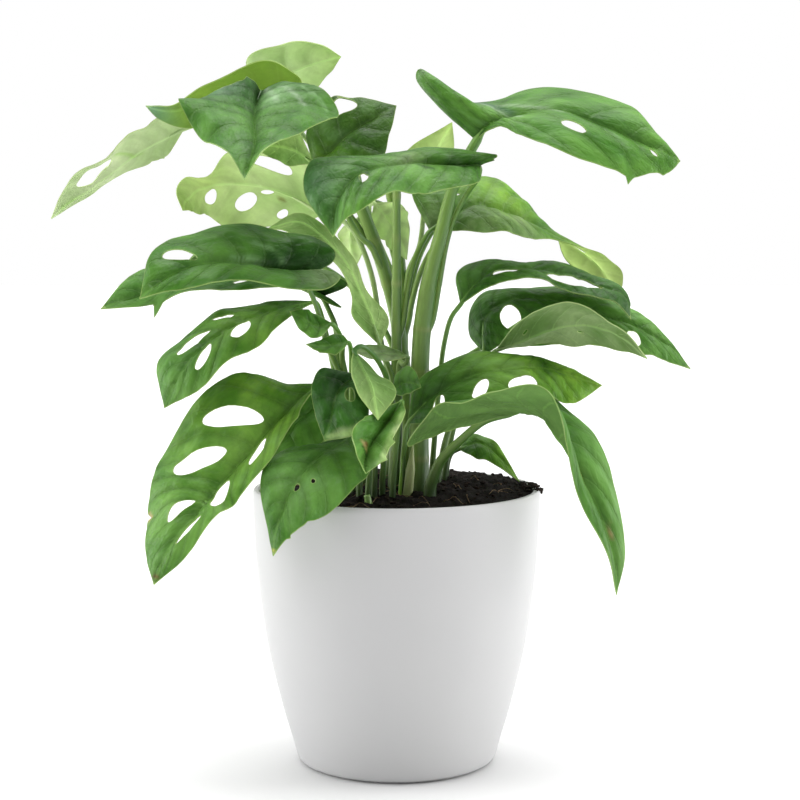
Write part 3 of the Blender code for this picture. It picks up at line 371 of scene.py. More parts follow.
        "left": ((-27, 222, -2), (-52, 231, -8), (-77, 231, -10), (-103, 229, -8), (-120, 223, -4)),
        "midrib": ((-43, 231, -4), (-61, 236, -8), (-83, 236, -12), (-106, 233, -14), (-127, 227, -16)),
        "right": ((-24, 234, 4), (-51, 241, 10), (-78, 245, 12), (-105, 244, 12), (-128, 238, 8)),
        "holes": (("left", 0.42, 0.49, 0.3, 0.66, 0.028),),
        "stalk": ((-34, 223, -3), (-29, 212, -4)),
        "root": ("shoot_left", "top"),
    },
    "leaf_left_holed": {
        "age": "mature", "base": (-39, 225, -16), "tip": (-113, 173, -48),
        "left": ((-51, 218, -5), (-63, 207, -12), (-80, 196, -14), (-98, 181, -8)),
        "midrib": ((-52, 222, -20), (-70, 217, -26), (-87, 208, -34), (-102, 194, -42)),
        "right": ((-54, 225, 6), (-73, 223, 14), (-94, 215, 16), (-115, 196, 14)),
        "holes": (
            ("right", 0.61, 0.77, 0.28, 0.42, 0.06), ("right", 0.48, 0.57, 0.4, 0.62, 0.024),
            ("left", 0.45, 0.52, 0.03, 0.56, 0.056), ("left", 0.66, 0.74, 0.1, 0.56, 0.045),
        ),
        "stalk": ((-37, 220, -11), (-33, 204, -7)),
        "root": ("shoot_left", 174),
    },
    "leaf_left_small": {
        "age": "mature", "base": (-31, 214, -30), "tip": (-52, 220, -32),
        "left": ((-38, 207, -4), (-46, 210, -3)),
        "midrib": ((-39, 213, -32), (-46, 217, -33)),
        "right": ((-40, 219, 4), (-45, 221, 3)),
        "stalk": ((-28, 210, -26), (-26, 204, -16)),
        "root": ("shoot_left", 192),
    },
    "leaf_centre_grey": {
        "age": "shade", "base": (-8, 203, -10), "tip": (-63, 260, 6),
        "left": ((-4, 217, 4), (-15, 231, 3), (-21, 246, 3), (-33, 260, 4), (-48, 268, 5)),
        "midrib": ((-12, 216, -12), (-18, 230, -12), (-25, 244, -8), (-36, 256, 0), (-48, 263, 4)),
        "right": ((-21, 217, -5), (-22, 228, -4), (-28, 242, -4), (-42, 252, -6), (-53, 259, -6)),
        "stalk": ((-5, 196, -9),),
        "root": ("shoot_middle", 182),
    },
    "leaf_centre_hanging": {
        "age": "shade", "base": (-21, 201, -48), "tip": (-9, 167, -66),
        "left": ((-22, 193, -3), (-19, 181, -3)),
        "midrib": ((-17, 193, -54), (-12, 182, -60)),
        "right": ((-9, 190, 4), (0, 181, 5)),
        "stalk": ((-17, 204, -47), (-10, 198, -40), (-3, 181, -22)),
        "root": ("shoot_middle", 156),
    },
    "leaf_centre_flat": {
        "age": "shade", "base": (6, 198, -13), "tip": (-22, 201, -32),
        "left": ((-2, 196, -4), (-12, 197, -4)),
        "midrib": ((-2, 199, -19), (-12, 200, -26)),
        "right": ((-2, 202, 4), (-12, 204, 4)),
        "stalk": ((4, 193, -10),),
        "root": ("shoot_middle", 190),
    },
    "leaf_centre_curl": {
        "age": "mature", "base": (-23, 205, -34), "tip": (-44, 204, -40),
        "left": ((-28, 200, -4), (-37, 200, -3)),
        "midrib": ((-28, 204, -36), (-36, 203, -38)),
        "right": ((-28, 209, 4), (-37, 206, 3)),
        "stalk": ((-22, 201, -28),),
        "root": ("shoot_left", 170),
    },
    "leaf_back_pale_small": {
        "age": "new", "base": (-11, 273, 24), "tip": (5, 245, 30),
        "left": ((2, 272, 3), (6, 261, 3)),
        "midrib": ((-5, 266, 26), (1, 257, 28)),
        "right": ((-12, 261, -3), (-5, 252, -3)),
        "stalk": ((-14, 271, 30), (-11, 259, 35)),
        "root": ("shoot_back", 228),
    },
    "leaf_pale_scrap": {
        "age": "new", "base": (-17, 267, 15), "tip": (-20, 241, 16),
        "left": ((-28, 259, 3), (-27, 250, 3)),
        "midrib": ((-22, 259, 16), (-22, 250, 16)),
        "right": ((-16, 261, -3), (-16, 251, -3)),
        "stalk": ((-12, 263, 16),),
        "root": ("shoot_bright", 238),
    },
    "leaf_back_left": {
        "age": "mature", "base": (-44, 244, 50), "tip": (-111, 233, 86),
        "left": ((-51, 253, -16), (-71, 255, -20), (-93, 252, -14)),
        "midrib": ((-63, 247, 58), (-82, 245, 70), (-99, 241, 80)),
        "right": ((-54, 237, 18), (-76, 237, 20), (-96, 235, 14)),
        "stalk": ((-36, 242, 46), (-21, 231, 42)),
        "root": ("shoot_back", 192),
    },
    "leaf_back_right": {
        "age": "mature", "base": (64, 217, 48), "tip": (107, 209, 78),
        "left": ((72, 207, 14), (88, 206, 16)),
        "midrib": ((78, 216, 58), (92, 214, 68)),
        "right": ((72, 225, -14), (89, 223, -16)),
        "stalk": ((55, 211, 46), (42, 203, 42), (21, 189, 38)),
        "root": ("shoot_back", 164),
    },
    "leaf_back_low": {
        "age": "mature", "base": (-35, 165, 64), "tip": (-44, 93, 106),
        "left": ((-51, 159, 6), (-55, 138, 8), (-52, 116, 8)),
        "midrib": ((-38, 155, 80), (-40, 136, 94), (-42, 115, 102)),
        "right": ((-26, 156, 6), (-27, 135, 8), (-32, 114, 8)),
        "stalk": ((-32, 170, 54), (-25, 159, 42)),
        "root": ("soil", (-20, 144, 34)),
    },
    "leaf_back_high": {
        "age": "shade", "base": (-34, 297, 60), "tip": (-6, 307, 98),
        "left": ((-27, 294, 14), (-15, 296, 14)),
        "midrib": ((-25, 300, 72), (-16, 302, 86)),
        "right": ((-28, 309, -12), (-19, 310, -12)),
        "stalk": ((-35, 292, 54), (-25, 275, 50)),
        "root": ("shoot_back", 266),
    },
    "leaf_back_right_high": {
        "age": "mature", "base": (35, 268, 54), "tip": (68, 262, 84),
        "left": ((45, 262, 12), (57, 260, 12)),
        "midrib": ((47, 271, 64), (59, 267, 76)),
        "right": ((42, 279, -14), (56, 276, -12)),
        "stalk": ((27, 267, 50), (16, 257, 46)),
        "root": ("shoot_back", 222),
    },
}

blade = {
    "thickness": 0.5,
    "arch": 0.10,
    "waveHeight": 2.2,
    "waves": 3.2,
    "spacing": 1.5,
    "veinGap": 10.5,
    "veinSlant": 0.16,
    "quilt": 1.0,
    "groove": 0.7,
    "crumple": 0.9,
    "crumpleSizes": (9, 3.6),
    "grooveHalf": 1.4,
    "stalkRadii": (1.5, 1.1),
    "clasp": 7,
    "rootDepth": 9,
    "shortLength": 50,  # leaves shorter than this have a finer mesh
    "shortShare": 0.75,
    "holeCorners": 28,
    "rimReach": 3.0,  # how far from an edge its distance is still measured
}


def deselectAll():
    for thing in bpy.context.view_layer.objects:
        thing.select_set(False)


def pick(obj):
    deselectAll()
    obj.select_set(True)
    bpy.context.view_layer.objects.active = obj
    return obj


# Colours as they read on a screen, from 0 to 255.
paint = {
    # deep is painted shade for the blades' shaded zones and creases
    "paintedShadeDeep": (28, 74, 16),
    "dark": (50, 102, 24),
    "mid": (74, 124, 38),
    "leaf": (94, 148, 54),
    "fresh": (100, 152, 66),
    "bright": (113, 162, 50),
    "vivid": (131, 180, 57),
    "olive": (122, 160, 52),
    "oliveDark": (62, 102, 30),
    "greyDark": (92, 120, 70),
    "grey": (110, 137, 82),
    "greyPale": (136, 164, 106),
    "soft": (157, 193, 112),
    "softPale": (190, 208, 162),
    "softGrey": (174, 196, 142),
    "lime": (172, 202, 112),
    "limeDeep": (160, 194, 110),
    "limeGrey": (160, 182, 110),
    "limePale": (196, 216, 166),
    "pale": (216, 238, 172),
    # stemPaintedShade is painted shade at the stems' feet, on one side of the sheaths and in a crease
    "stemPaintedShade": (30, 52, 18),
    "sheath": (172, 184, 122),
    # stemShadedSide and stem are the painted shaded and lit sides of a stem
    "stemShadedSide": (66, 104, 38),
    "stem": (136, 168, 80),
    "vein": (150, 186, 104),
    "margin": (170, 192, 112),
    # Painted highlights: the pale sheens stand in for the light's reflection on the blades
    "paintedSheen": (140, 186, 122),
    "paintedSheenPale": (168, 194, 158),
    "blueGrey": (118, 160, 130),
    # paintedShadeBlue is painted shade with a bluish cast
    "paintedShadeBlue": (70, 112, 74),
    "tan": (196, 172, 120),
    "brown": (120, 84, 48),
    "yellow": (190, 190, 80),
}


def linear(name):
    # A paint's colour as the shaders read it
    return [((part / 255 + 0.055) / 1.055) ** 2.4 for part in paint[name]]


def blend(low, high, share):
    return [a + (b - a) * share for a, b in zip(low, high)]


def seenPoint(across, up, back):
    ray = pictureMiddle - view["eye"]
    ray = ray + Vector((across - pictureMiddle.x, 0, 0)) + pictureUp * (up - pictureMiddle.z)
    return view["eye"] + ray * ((back - view["eye"].y) / ray.y)


def along(points, place):
    # A point of the smooth curve through the given points, from 0 at the first to 1 at the last
    step = min(max(place, 0), 1) * (len(points) - 1)
    first = min(int(step), len(points) - 2)
    part = step - first
    here = points[first]
    after = points[first + 1]
    before = points[first - 1] if first > 0 else here * 2 - after
    beyond = points[first + 2] if first + 2 < len(points) else after * 2 - here
    bend = (2 * before - 5 * here + 4 * after - beyond) * part**2
    swing = (3 * here - before - 3 * after + beyond) * part**3
    return 0.5 * (2 * here + (after - before) * part + bend + swing)


def smoothRoute(points):
    slopes = []
    for index, place in enumerate(points):
        steps = []
        if index > 0:
            steps.append(place - points[index - 1])
        if index < len(points) - 1:
            steps.append(points[index + 1] - place)
        slopes.append(sum((step / step.length**1.5 for step in steps), Vector((0, 0, 0))).normalized())
    route = [points[0]]
    for index in range(len(points) - 1):
        low = points[index]
        high = points[index + 1]
        if (high - low).length > 14:
            route.append((low + high) / 2 + (slopes[index] - slopes[index + 1]) * (high - low).length / 8)
        route.append(high)
    return route


def roundOff(points, times=2):
    # Cuts a route's corners so that it bends smoothly
    for _ in range(times):
        cut = [points[0]]
        for low, high in zip(points, points[1:]):
            cut += [low.lerp(high, 0.25), low.lerp(high, 0.75)]
        points = cut + [points[-1]]
    return points


soil = {
    "edge": 131,
    "rise": 3,
    "backRise": 4,
    "sideRise": 2.5,
    "radius": 66,
    "rings": 70,
    "steps": 200,
    "wall": ((65.3, 122), (60, 70), (50, 12)),
    "lumps": ((9, 1.6), (4, 1.1), (1.8, 0.7)),  # size and height of each kind
}


def soilHeight(x, y):
    reach = min(math.hypot(x, y) / soil["radius"], 1)
    rise = soil["edge"] + soil["rise"] * (1 - reach**2) + soil["backRise"] * y / soil["radius"]
    rise += soil["sideRise"] * (x / soil["radius"]) ** 2
    return rise + 0.7 * math.sin(x * 0.37 + 1) * math.cos(y * 0.31) + 0.4 * math.sin(x * 0.9 - y * 0.7)


def shootRoute(name, count=9):
    points = [seenPoint(*point) for point in shoots[name]["points"]]
    foot = points[0]
    ground = soilHeight(foot.x, foot.y)
    start = Vector((foot.x, foot.y, ground - blade["rootDepth"]))
    curve = [Vector((foot.x, foot.y, ground + stems["footRise"]))] + points[1:]
    return [start] + [along(curve, k / count) for k in range(count + 1)]


def taper(radii, count, flat=2):
    low, high = radii
    return [low + (high - low) * max(0, step - flat) / (count - 1 - flat) for step in range(count)]


def shootPlace(name, height):
    # Where a shoot stands at a height, which way it grows there and how wide it is
    route = shootRoute(name)
    widths = taper(shoots[name]["radii"], len(route))
    for index in range(len(route) - 1):
        low = route[index]
        high = route[index + 1]
        if low.z <= height <= high.z:
            part = (height - low.z) / (high.z - low.z)
            width = widths[index] + (widths[index + 1] - widths[index]) * part
            return low.lerp(high, part), (high - low).normalized(), width


def bladeCurves(leaf):
    # The midrib and both edges of a blade, each as points from the base to the tip
    base = seenPoint(*leaf["base"])
    tip = seenPoint(*leaf["tip"])
    curves = {"midrib": [base] + [seenPoint(*point) for point in leaf["midrib"]] + [tip]}
    for side in ("left", "right"):
        edge = [base]
        for (across, up, behind), middle in zip(leaf[side], leaf["midrib"]):
            edge.append(seenPoint(across, up, middle[2] + behind))
        curves[side] = edge + [tip]
    return curves


def bladeNormal(curves, place):
    place = min(max(place, 0.08), 0.92)
    ahead = along(curves["midrib"], place + 0.03) - along(curves["midrib"], place - 0.03)
    return ahead.cross(along(curves["left"], place) - along(curves["right"], place)).normalized()


def bladeRow(curves, place):
    # What all the points at one place along a blade share
    middle = along(curves["midrib"], place)
    out = {-1: along(curves["left"], place) - middle, 1: along(curves["right"], place) - middle}
    return {"middle": middle, "out": out, "normal": bladeNormal(curves, place)}


# Points and nicks of the edges: side, place along, half width along and how far out in mm, and for some how
# far they hang across and up in mm.
leafTeeth = {
    "leaf_upper_right": (
        (1, 0.72, 0.02, 5), (-1, 0.31, 0.02, 1.5), (-1, 0.36, 0.022, 2.4), (-1, 0.41, 0.022, 2),
        (1, 0.865, 0.03, 1.5),
    ),
    "leaf_upper_middle": ((1, 0.06, 0.03, 3), (1, 0.62, 0.03, 1.5), (-1, 0.4, 0.03, -1)),
    "leaf_upper_left_front": ((1, 0.17, 0.03, 2), (-1, 0.3, 0.02, 1)),
    "leaf_left_big": ((1, 0.78, 0.012, -2.5), (-1, 0.2, 0.03, 1.5)),
    "leaf_front_low": ((-1, 0.8, 0.03, 1.5), (-1, 0.62, 0.03, -1)),
    "leaf_front_cupped": ((-1, 0.55, 0.05, 2.5), (-1, 0.75, 0.05, 2), (1, 0.3, 0.05, 1.5)),
    "leaf_pale_left": ((1, 0.88, 0.03, 1.2), (1, 0.62, 0.03, -1)),
    "leaf_far_left": ((1, 0.36, 0.03, -1.5), (1, 0.28, 0.03, 1.5)),
    "leaf_left_under": ((-1, 0.79, 0.022, 1, -3.5, -8), (-1, 0.55, 0.04, 1), (-1, 0.35, 0.04, 1)),
    "leaf_centre_curl": ((-1, 0.4, 0.06, 1.5), (1, 0.6, 0.06, 1.2), (-1, 0.75, 0.05, -1)),
    "leaf_back_pale_small": ((-1, 0.5, 0.06, 1.5), (1, 0.6, 0.07, -1.5)),
    "leaf_pale_scrap": ((-1, 0.5, 0.08, -2), (1, 0.7, 0.08, 1.5)),
}


def toothReach(name, place, side):
    # How far a blade's edge stands out from its smooth line here, and how far it hangs
    reach = 0
    hang = Vector((0, 0, 0))
    for toothSide, middle, half, out, *lean in leafTeeth.get(name, ()):
        if toothSide * side > 0:
            share = max(0, 1 - abs(place - middle) / half) ** 1.4
            reach += out * share
            if lean:
                hang += Vector((lean[0], 0, lean[1])) * share
    return reach, hang


def bladePoint(name, row, place, side, length):
    # A point of the blade: the same surface as its solid's, with the bulges between its veins
    edge = row["out"][-1 if side < 0 else 1]
    out = abs(side)
    width = edge.length
    lift = blade["arch"] * width * 4 * out * (1 - out)
    turn = 2 * math.pi * blade["waves"] * place + len(name) + side
    height = blade["waveHeight"] * leaves[name].get("wave", 1)
    lift += height * math.sin(turn) * out**2 * math.sin(math.pi * place) * width / 30
    spread = min(1, width / 14)
    fade = max(0, math.sin(math.pi * place)) ** 0.5 * min(1, out * 5) * (1 - out**4) * spread
    bulge = abs(math.sin(math.pi * veinPlace(place, side) * veinCount(length))) ** 0.7
    lift += blade["quilt"] * (bulge - 0.6) * fade
    sunk = math.exp(-((out * width / blade["grooveHalf"]) ** 2))
    lift -= blade["groove"] * sunk * min(1, place * 6) * spread
    spot = Vector((place * length, side * width, len(name) * 7))
    broad, fine = blade["crumpleSizes"]
    lift += blade["crumple"] * (noise.noise(spot / broad) + 0.35 * noise.noise(spot / fine)) * spread
    reach, hang = toothReach(name, place, side)
    stretch = 1 + reach / max(width, 1) * out**5
    return row["middle"] + edge * out * stretch + row["normal"] * lift + hang * out**5


def veinPlace(place, side):
    return place - blade["veinSlant"] * abs(side) ** 1.2


def veinCount(length):
    return max(4, round(length / blade["veinGap"]))


def holeOutline(hole, corners):
    # A blade's hole: a drop that starts near the midrib and slants towards the edge and the tip
    side, start, end, inner, outer, width = hole
    sign = -1 if side == "left" else 1
    ahead = Vector((end - start, (outer - inner) * 0.4)).normalized()
    outline = []
    for corner in range(corners):
        turn = 2 * math.pi * corner / corners
        out = 0.5 - 0.5 * math.cos(turn)
        swell = width * math.sin(turn) * (0.75 + 0.35 * out)
        place = start + (end - start) * out + ahead.y * swell
        outline.append((place, sign * (inner + (outer - inner) * out - ahead.x * swell / 0.4)))
    return outline


def isInside(outline, point):
    x, y = point
    crossings = 0
    for (xa, ya), (xb, yb) in zip(outline, outline[1:] + outline[:1]):
        if (ya > y) != (yb > y) and x < xa + (xb - xa) * (y - ya) / (yb - ya):
            crossings += 1
    return crossings % 2 == 1


def evenPlaces(curves, spacing):
    # Places along a blade that lie evenly along whichever of its three curves runs longest there
    count = 300
    tops = [0]
    for k in range(count):
        steps = [(along(line, (k + 1) / count) - along(line, k / count)).length for line in curves.values()]
        tops.append(tops[-1] + max(steps))
    rows = max(6, round(tops[-1] / spacing))
    places = []
    at = 0
    for row in range(1, rows):
        while tops[at + 1] < tops[-1] * row / rows:
            at += 1
        part = (tops[-1] * row / rows - tops[at]) / (tops[at + 1] - tops[at])
        places.append((at + part) / count)
    return places


def flatPlace(place, side, length, reach):
    spread = 1.6 * place**0.5 * (1 - place) ** 0.8
    return Vector((place * length, -side * spread * reach / 2))


def cellOf(point, size):
    return tuple(int(part // size) for part in point)


def nearby(cells, point, size):
    # The points kept in a point's own cell and in the cells around it
    x, y, z = cellOf(point, size)
    near = []
    for dx, dy, dz in product((-1, 0, 1), repeat=3):
        near += cells.get((x + dx, y + dy, z + dz), ())
    return near


def drawBlade(name, leaf):
    # Cuts the blade into fine triangles around its holes. Returns points, triangles and what each point is
    curves = bladeCurves(leaf)
    steps = 8
    stops = [along(curves["midrib"], k / steps) for k in range(steps + 1)]
    length = sum((after - before).length for before, after in zip(stops, stops[1:]))
    spans = [along(curves["left"], k / steps) - along(curves["right"], k / steps) for k in range(1, steps)]
    reach = max(span.length for span in spans)
    spacing = blade["spacing"] * (1 if length > blade["shortLength"] else blade["shortShare"])
    places = evenPlaces(curves, spacing)
    rows = {place: bladeRow(curves, place) for place in [0, 1] + places}
    pairs = []
    points = []
    taken = {}

    def add(place, side, least=0):
        # Adds a point of the blade, unless another lies nearer than the least distance
        if place not in rows:
            rows[place] = bladeRow(curves, place)
        point = bladePoint(name, rows[place], place, side, length)
        if any((other - point).length < least for other in nearby(taken, point, spacing)):
            return
        pairs.append((place, side))
        points.append(point)
        taken.setdefault(cellOf(point, spacing), []).append(point)

    outline = [(0, 0)] + [(place, -1) for place in places] + [(1, 0)] + [(place, 1) for place in places[::-1]]
    holes = [holeOutline(hole, blade["holeCorners"]) for hole in leaf.get("holes", ())]
    borders = []
    for ring in [outline] + holes:
        first = len(pairs)
        borders += [(first + k, first + (k + 1) % len(ring)) for k in range(len(ring))]
        for pair in ring:
            add(*pair)
    rim = list(points)
    for place in places:
        add(place, 0, spacing * 0.6)
    for place in places:
        width = max(edge.length for edge in rows[place]["out"].values())
        count = max(2, round(width / spacing))
        for step, sign in product(range(1, count), (-1, 1)):
            pair = (place, sign * step / count)
            if not any(isInside(hole, pair) for hole in holes):
                add(*pair, spacing * 0.72)
    flat = [flatPlace(*pair, length, reach) for pair in pairs]
    found = delaunay_2d_cdt(flat, borders, [], 1, 1e-6)
    sources = [kept[0] for kept in found[3]]
    triangles = []
    for face in found[2]:
        corners = [sources[corner] for corner in face]
        middle = [sum(pairs[corner][axis] for corner in corners) / 3 for axis in (0, 1)]
        if not any(isInside(hole, middle) for hole in holes):
            triangles.append(corners)
    return {
        "pairs": pairs, "points": points, "triangles": triangles, "rim": rim, "length": length, "rows": rows,
        "curves": curves,
    }


def setPointColour(mesh, colours):
    layer = mesh.color_attributes.new("tint", "FLOAT_COLOR", "POINT")
    for index, colour in enumerate(colours):
        layer.data[index].color = (colour[0], colour[1], colour[2], 1)


def setPointNumber(mesh, name, numbers):
    layer = mesh.attributes.new(name, "FLOAT", "POINT")
    for index, number in enumerate(numbers):
        layer.data[index].value = number


def setPointUv(mesh, name, places):
    layer = mesh.uv_layers.new(name=name)
    for loop in mesh.loops:
        layer.data[loop.index].uv = places[loop.vertex_index]


def newObject(name, points, faces):
    mesh = bpy.data.meshes.new(name)
    mesh.from_pydata([Vector(point) * mm for point in points], [], faces)
    made = bpy.data.objects.new(name, mesh)
    bpy.context.scene.collection.objects.link(made)
    return made


def rimDistances(drawn):
    # How far each point lies from the blade's outline and its holes, in millimetres
    size = blade["rimReach"]
    cells = {}
    for point in drawn["rim"]:
        cells.setdefault(cellOf(point, size), []).append(point)
    distances = []
    for point in drawn["points"]:
        distances.append(min([size] + [(other - point).length for other in nearby(cells, point, size)]))
    return distances


# Marks on the blades: place along, side, radius in mm and paint. Small ones are sharp spots, blemishes and a
# dark edge of painted shade round a hole; broad ones are soft zones, partly the leaf's own tone and partly
# painted light and shade: the deep, dark and blue-dark ones paint shade, the paler ones paint light and
# sheen.
leafMarks = {
    "leaf_left_upper": (
        (0.14, 0.5, 17, "paintedShadeDeep"), (0.3, 0.2, 10, "paintedShadeDeep"), (0.02, -0.6, 8, "greyPale"),
        (0.12, -0.6, 10, "greyPale"), (0.24, -0.9, 8, "greyPale"), (0.7, 0.5, 12, "fresh"),
    ),
    "leaf_upper_left_front": (
        (0.1, 0.1, 9, "paintedShadeDeep"), (0.28, -0.35, 8, "paintedSheen"), (0.6, 0.5, 12, "fresh"), (0.3, 0.9, 9, "paintedShadeBlue"),
    ),
    "leaf_upper_left_olive": ((0.9, 0, 14, "blueGrey"), (1, 0, 10, "blueGrey")),
    "leaf_left_under": ((0.1, 0, 16, "paintedShadeDeep"), (0.45, -0.4, 14, "dark")),
    "leaf_front_dark": ((0.3, 0.3, 8, "paintedShadeDeep"), (0.8, -0.7, 3, "greyPale"), (0.72, -0.98, 3, "greyPale")),
    "leaf_front_cupped": ((0.62, 0.3, 2, "brown"), (0.4, -0.95, 2.5, "pale"), (0.7, -0.95, 2.5, "pale")),
    "leaf_front_low": ((0.95, 0.1, 1.6, "yellow"), (0.3, -0.5, 12, "mid"), (0.45, 0.6, 10, "fresh")),
    "leaf_left_big": (
        (0.78, 0.95, 1.8, "tan"), (0.97, 0.2, 1.3, "brown"), (0.12, -0.2, 12, "dark"),
        (0.16, 0.75, 14, "bright"), (0.6, 0.9, 12, "fresh"),
    ),
    "leaf_right_arching": ((0.73, 0.25, 1.8, "tan"), (0.24, 0.75, 1.6, "dark"), (0.3, 0.9, 1.6, "dark")),
    "leaf_pale_left": ((0.18, 0.25, 1.4, "brown"), (0.09, 0, 13, "soft"), (0.53, -0.5, 12, "lime")),
    "leaf_upper_middle": (
        (0.64, -0.2, 3.4, "dark"), (0.8, 0.7, 14, "paintedShadeBlue"), (0.4, -0.4, 12, "fresh"),
        (0.41, 0.2, 7, "grey"), (0.1, -0.5, 12, "dark"),
    ),
    "leaf_upper_centre": ((0.2, 0.4, 9, "bright"),),
    "leaf_upper_right": (
        (0.45, 0.6, 16, "fresh"), (0.06, -0.5, 14, "dark"), (0.38, -0.6, 8, "paintedShadeBlue"),
        (0.68, -0.3, 12, "fresh"),
    ),
    "leaf_right_grey": ((0.3, 0.2, 6, "mid"), (0.63, -0.35, 6, "mid")),
    "leaf_right": (
        (0.55, -0.5, 16, "vivid"), (0.75, -0.5, 8, "leaf"), (0.3, 0.6, 14, "greyPale"),
        (0.6, 0.7, 12, "greyPale"), (0.05, -0.2, 12, "grey"),
    ),
    "leaf_right_broad": ((0.2, -0.4, 20, "paintedShadeDeep"), (0.38, 0.3, 12, "dark"), (0.75, 0, 16, "fresh")),
    "leaf_right_low": ((0.2, -0.3, 18, "dark"), (0.62, -0.3, 9, "dark")),
    "leaf_left_holed": ((0.2, 0.4, 14, "mid"), (0.8, 0.2, 12, "fresh")),
}
# Creases darkened with painted shade, tears, pale streaks, and folds with painted highlights along them:
# place and side where each starts and ends, half width in mm and paint.
leafStrokes = {
    "leaf_left_upper": (
        (0.47, 0.45, 0.41, 0.4, 1.2, "paintedSheen"), (0.41, 0.4, 0.29, 0.12, 1.1, "paintedSheen"),
        (0.54, 0.1, 0.43, 0.12, 1.3, "paintedSheen"), (0.38, 0.25, 0.28, 0.0, 1.6, "paintedShadeDeep"),
    ),
    "leaf_right_arching": ((0.31, 0.99, 0.26, 0.88, 0.8, "stemPaintedShade"), (0.83, -0.22, 0.86, -0.12, 0.5, "tan")),
    "leaf_front_cupped": (
        (0.6, 0.55, 0.68, 0.1, 0.9, "tan"), (0.66, 0.5, 0.72, 0.1, 0.6, "paintedShadeDeep"),
        (0.25, -0.8, 0.8, -0.9, 2, "soft"),
    ),
    "leaf_front_dark": ((0.92, -0.5, 0.78, -0.85, 1.5, "soft"), (0.78, -0.85, 0.7, -0.95, 1.8, "soft")),
    "leaf_upper_middle": (
        (0.26, 0.35, 0.15, 0.1, 1.2, "paintedSheenPale"), (0.22, 0.2, 0.1, -0.2, 2.2, "dark"),
        (0.35, -0.15, 0.31, -0.35, 1.4, "paintedShadeDeep"),
    ),
    "leaf_far_left": ((0.49, -0.6, 0.36, 0.2, 1.1, "soft"), (0.64, 0.3, 0.9, -0.1, 1.2, "soft")),
    "leaf_upper_right": (
        (0.05, -0.95, 0.28, -0.95, 1.6, "paintedSheenPale"), (0.38, -0.75, 0.47, 0.2, 1.1, "paintedSheenPale"),
        (0.45, -0.4, 0.55, 0.1, 0.9, "paintedSheenPale"), (0.41, -0.6, 0.46, -0.1, 1.6, "paintedShadeBlue"),
    ),
    "leaf_upper_left_front": (
        (0.12, -0.35, 0.34, -0.35, 1.6, "paintedSheenPale"), (0.2, -0.6, 0.45, -0.6, 1.1, "paintedSheenPale"),
        (0.3, -0.8, 0.5, -0.85, 1.0, "paintedSheen"),
    ),
}
# How strongly marks and strokes cover a blade; strokes of painted highlight cover it less than the rest.
# Marks smaller than sharpBelow have a crisp edge.
cover = {"sharpBelow": 6, "soft": 0.75, "stroke": 0.85, "paintedSheen": 0.5}


def markedColour(name, colour, place, side, length, width):
    # The colour of one point of a blade, under the marks and strokes that reach it, with their painted shade
    # and painted light
    for markPlace, markSide, radius, markPaint in leafMarks.get(name, ()):
        away = Vector(((place - markPlace) * length, (side - markSide) * width))
        isSharp = radius < cover["sharpBelow"]
        near = math.exp(-((away.length / radius) ** (4 if isSharp else 2)))
        colour = blend(colour, linear(markPaint), near if isSharp else cover["soft"] * near)
    spot = Vector((place * length, side * width))
    for startPlace, startSide, endPlace, endSide, radius, strokePaint in leafStrokes.get(name, ()):
        start = Vector((startPlace * length, startSide * width))
        end = Vector((endPlace * length, endSide * width))
        share = (spot - start).dot(end - start) / (end - start).length_squared
        away = (spot - start.lerp(end, min(1, max(0, share)))).length
        # Strokes of painted highlight are fainter than creases and tears
        strength = cover["paintedSheen"] if strokePaint.startswith("paintedSheen") else cover["stroke"]
        colour = blend(colour, linear(strokePaint), strength * math.exp(-((away / radius) ** 2)))
    return colour


# Each leaf's colour at its base and at its tip.
leafColours = {
    "leaf_upper_right": ("leaf", "leaf"),
    "leaf_upper_middle": ("mid", "leaf"),
    "leaf_upper_left_front": ("dark", "leaf"),
    "leaf_upper_left_olive": ("olive", "olive"),
    "leaf_top_lime": ("limePale", "limeDeep"),
    "leaf_far_left": ("softGrey", "softPale"),
    "leaf_pale_left": ("pale", "lime"),
    "leaf_upper_centre": ("oliveDark", "oliveDark"),
    "leaf_behind_front_left": ("soft", "vivid"),
    "leaf_pale_top_middle": ("pale", "lime"),
    "leaf_right": ("mid", "bright"),
    "leaf_right_lime": ("lime", "limeGrey"),
    "leaf_right_curled": ("fresh", "dark"),
    "leaf_right_broad": ("leaf", "fresh"),
    "leaf_right_grey": ("greyPale", "greyPale"),
    "leaf_right_low": ("leaf", "vivid"),
    "leaf_right_arching": ("mid", "fresh"),
    "leaf_low_behind": ("mid", "bright"),
    "leaf_small_middle": ("fresh", "mid"),
    "leaf_front_dark": ("dark", "dark"),
    "leaf_front_cupped": ("leaf", "fresh"),
    "leaf_front_low": ("mid", "fresh"),
    "leaf_left_big": ("bright", "fresh"),
    "leaf_left_dark": ("leaf", "leaf"),
    "leaf_left_upper": ("dark", "leaf"),
    "leaf_left_under": ("dark", "fresh"),
    "leaf_left_holed": ("bright", "fresh"),
    "leaf_left_small": ("leaf", "leaf"),
    "leaf_centre_grey": ("soft", "soft"),
    "leaf_centre_hanging": ("dark", "soft"),
    "leaf_centre_flat": ("grey", "greyPale"),
    "leaf_centre_curl": ("leaf", "leaf"),
}
coloursByAge = {
    "mature": ("mid", "mid"),
    "shade": ("greyDark", "grey"),
    "young": ("olive", "fresh"),
    "new": ("pale", "pale"),
}
# How much greyer than its upper side a blade's underside is.
greyness = {"mature": 0.5, "shade": 0.4, "young": 0.1, "new": 0.0}


def bladeColours(name, leaf):
    return [linear(colour) for colour in leafColours.get(name, coloursByAge[leaf["age"]])]


# The finishes that a leaf's faces choose from: on top, underneath, on the edges and on the stalk
leafFinishes = ("leafTop", "leafUnder", "leafRim", "stalk")


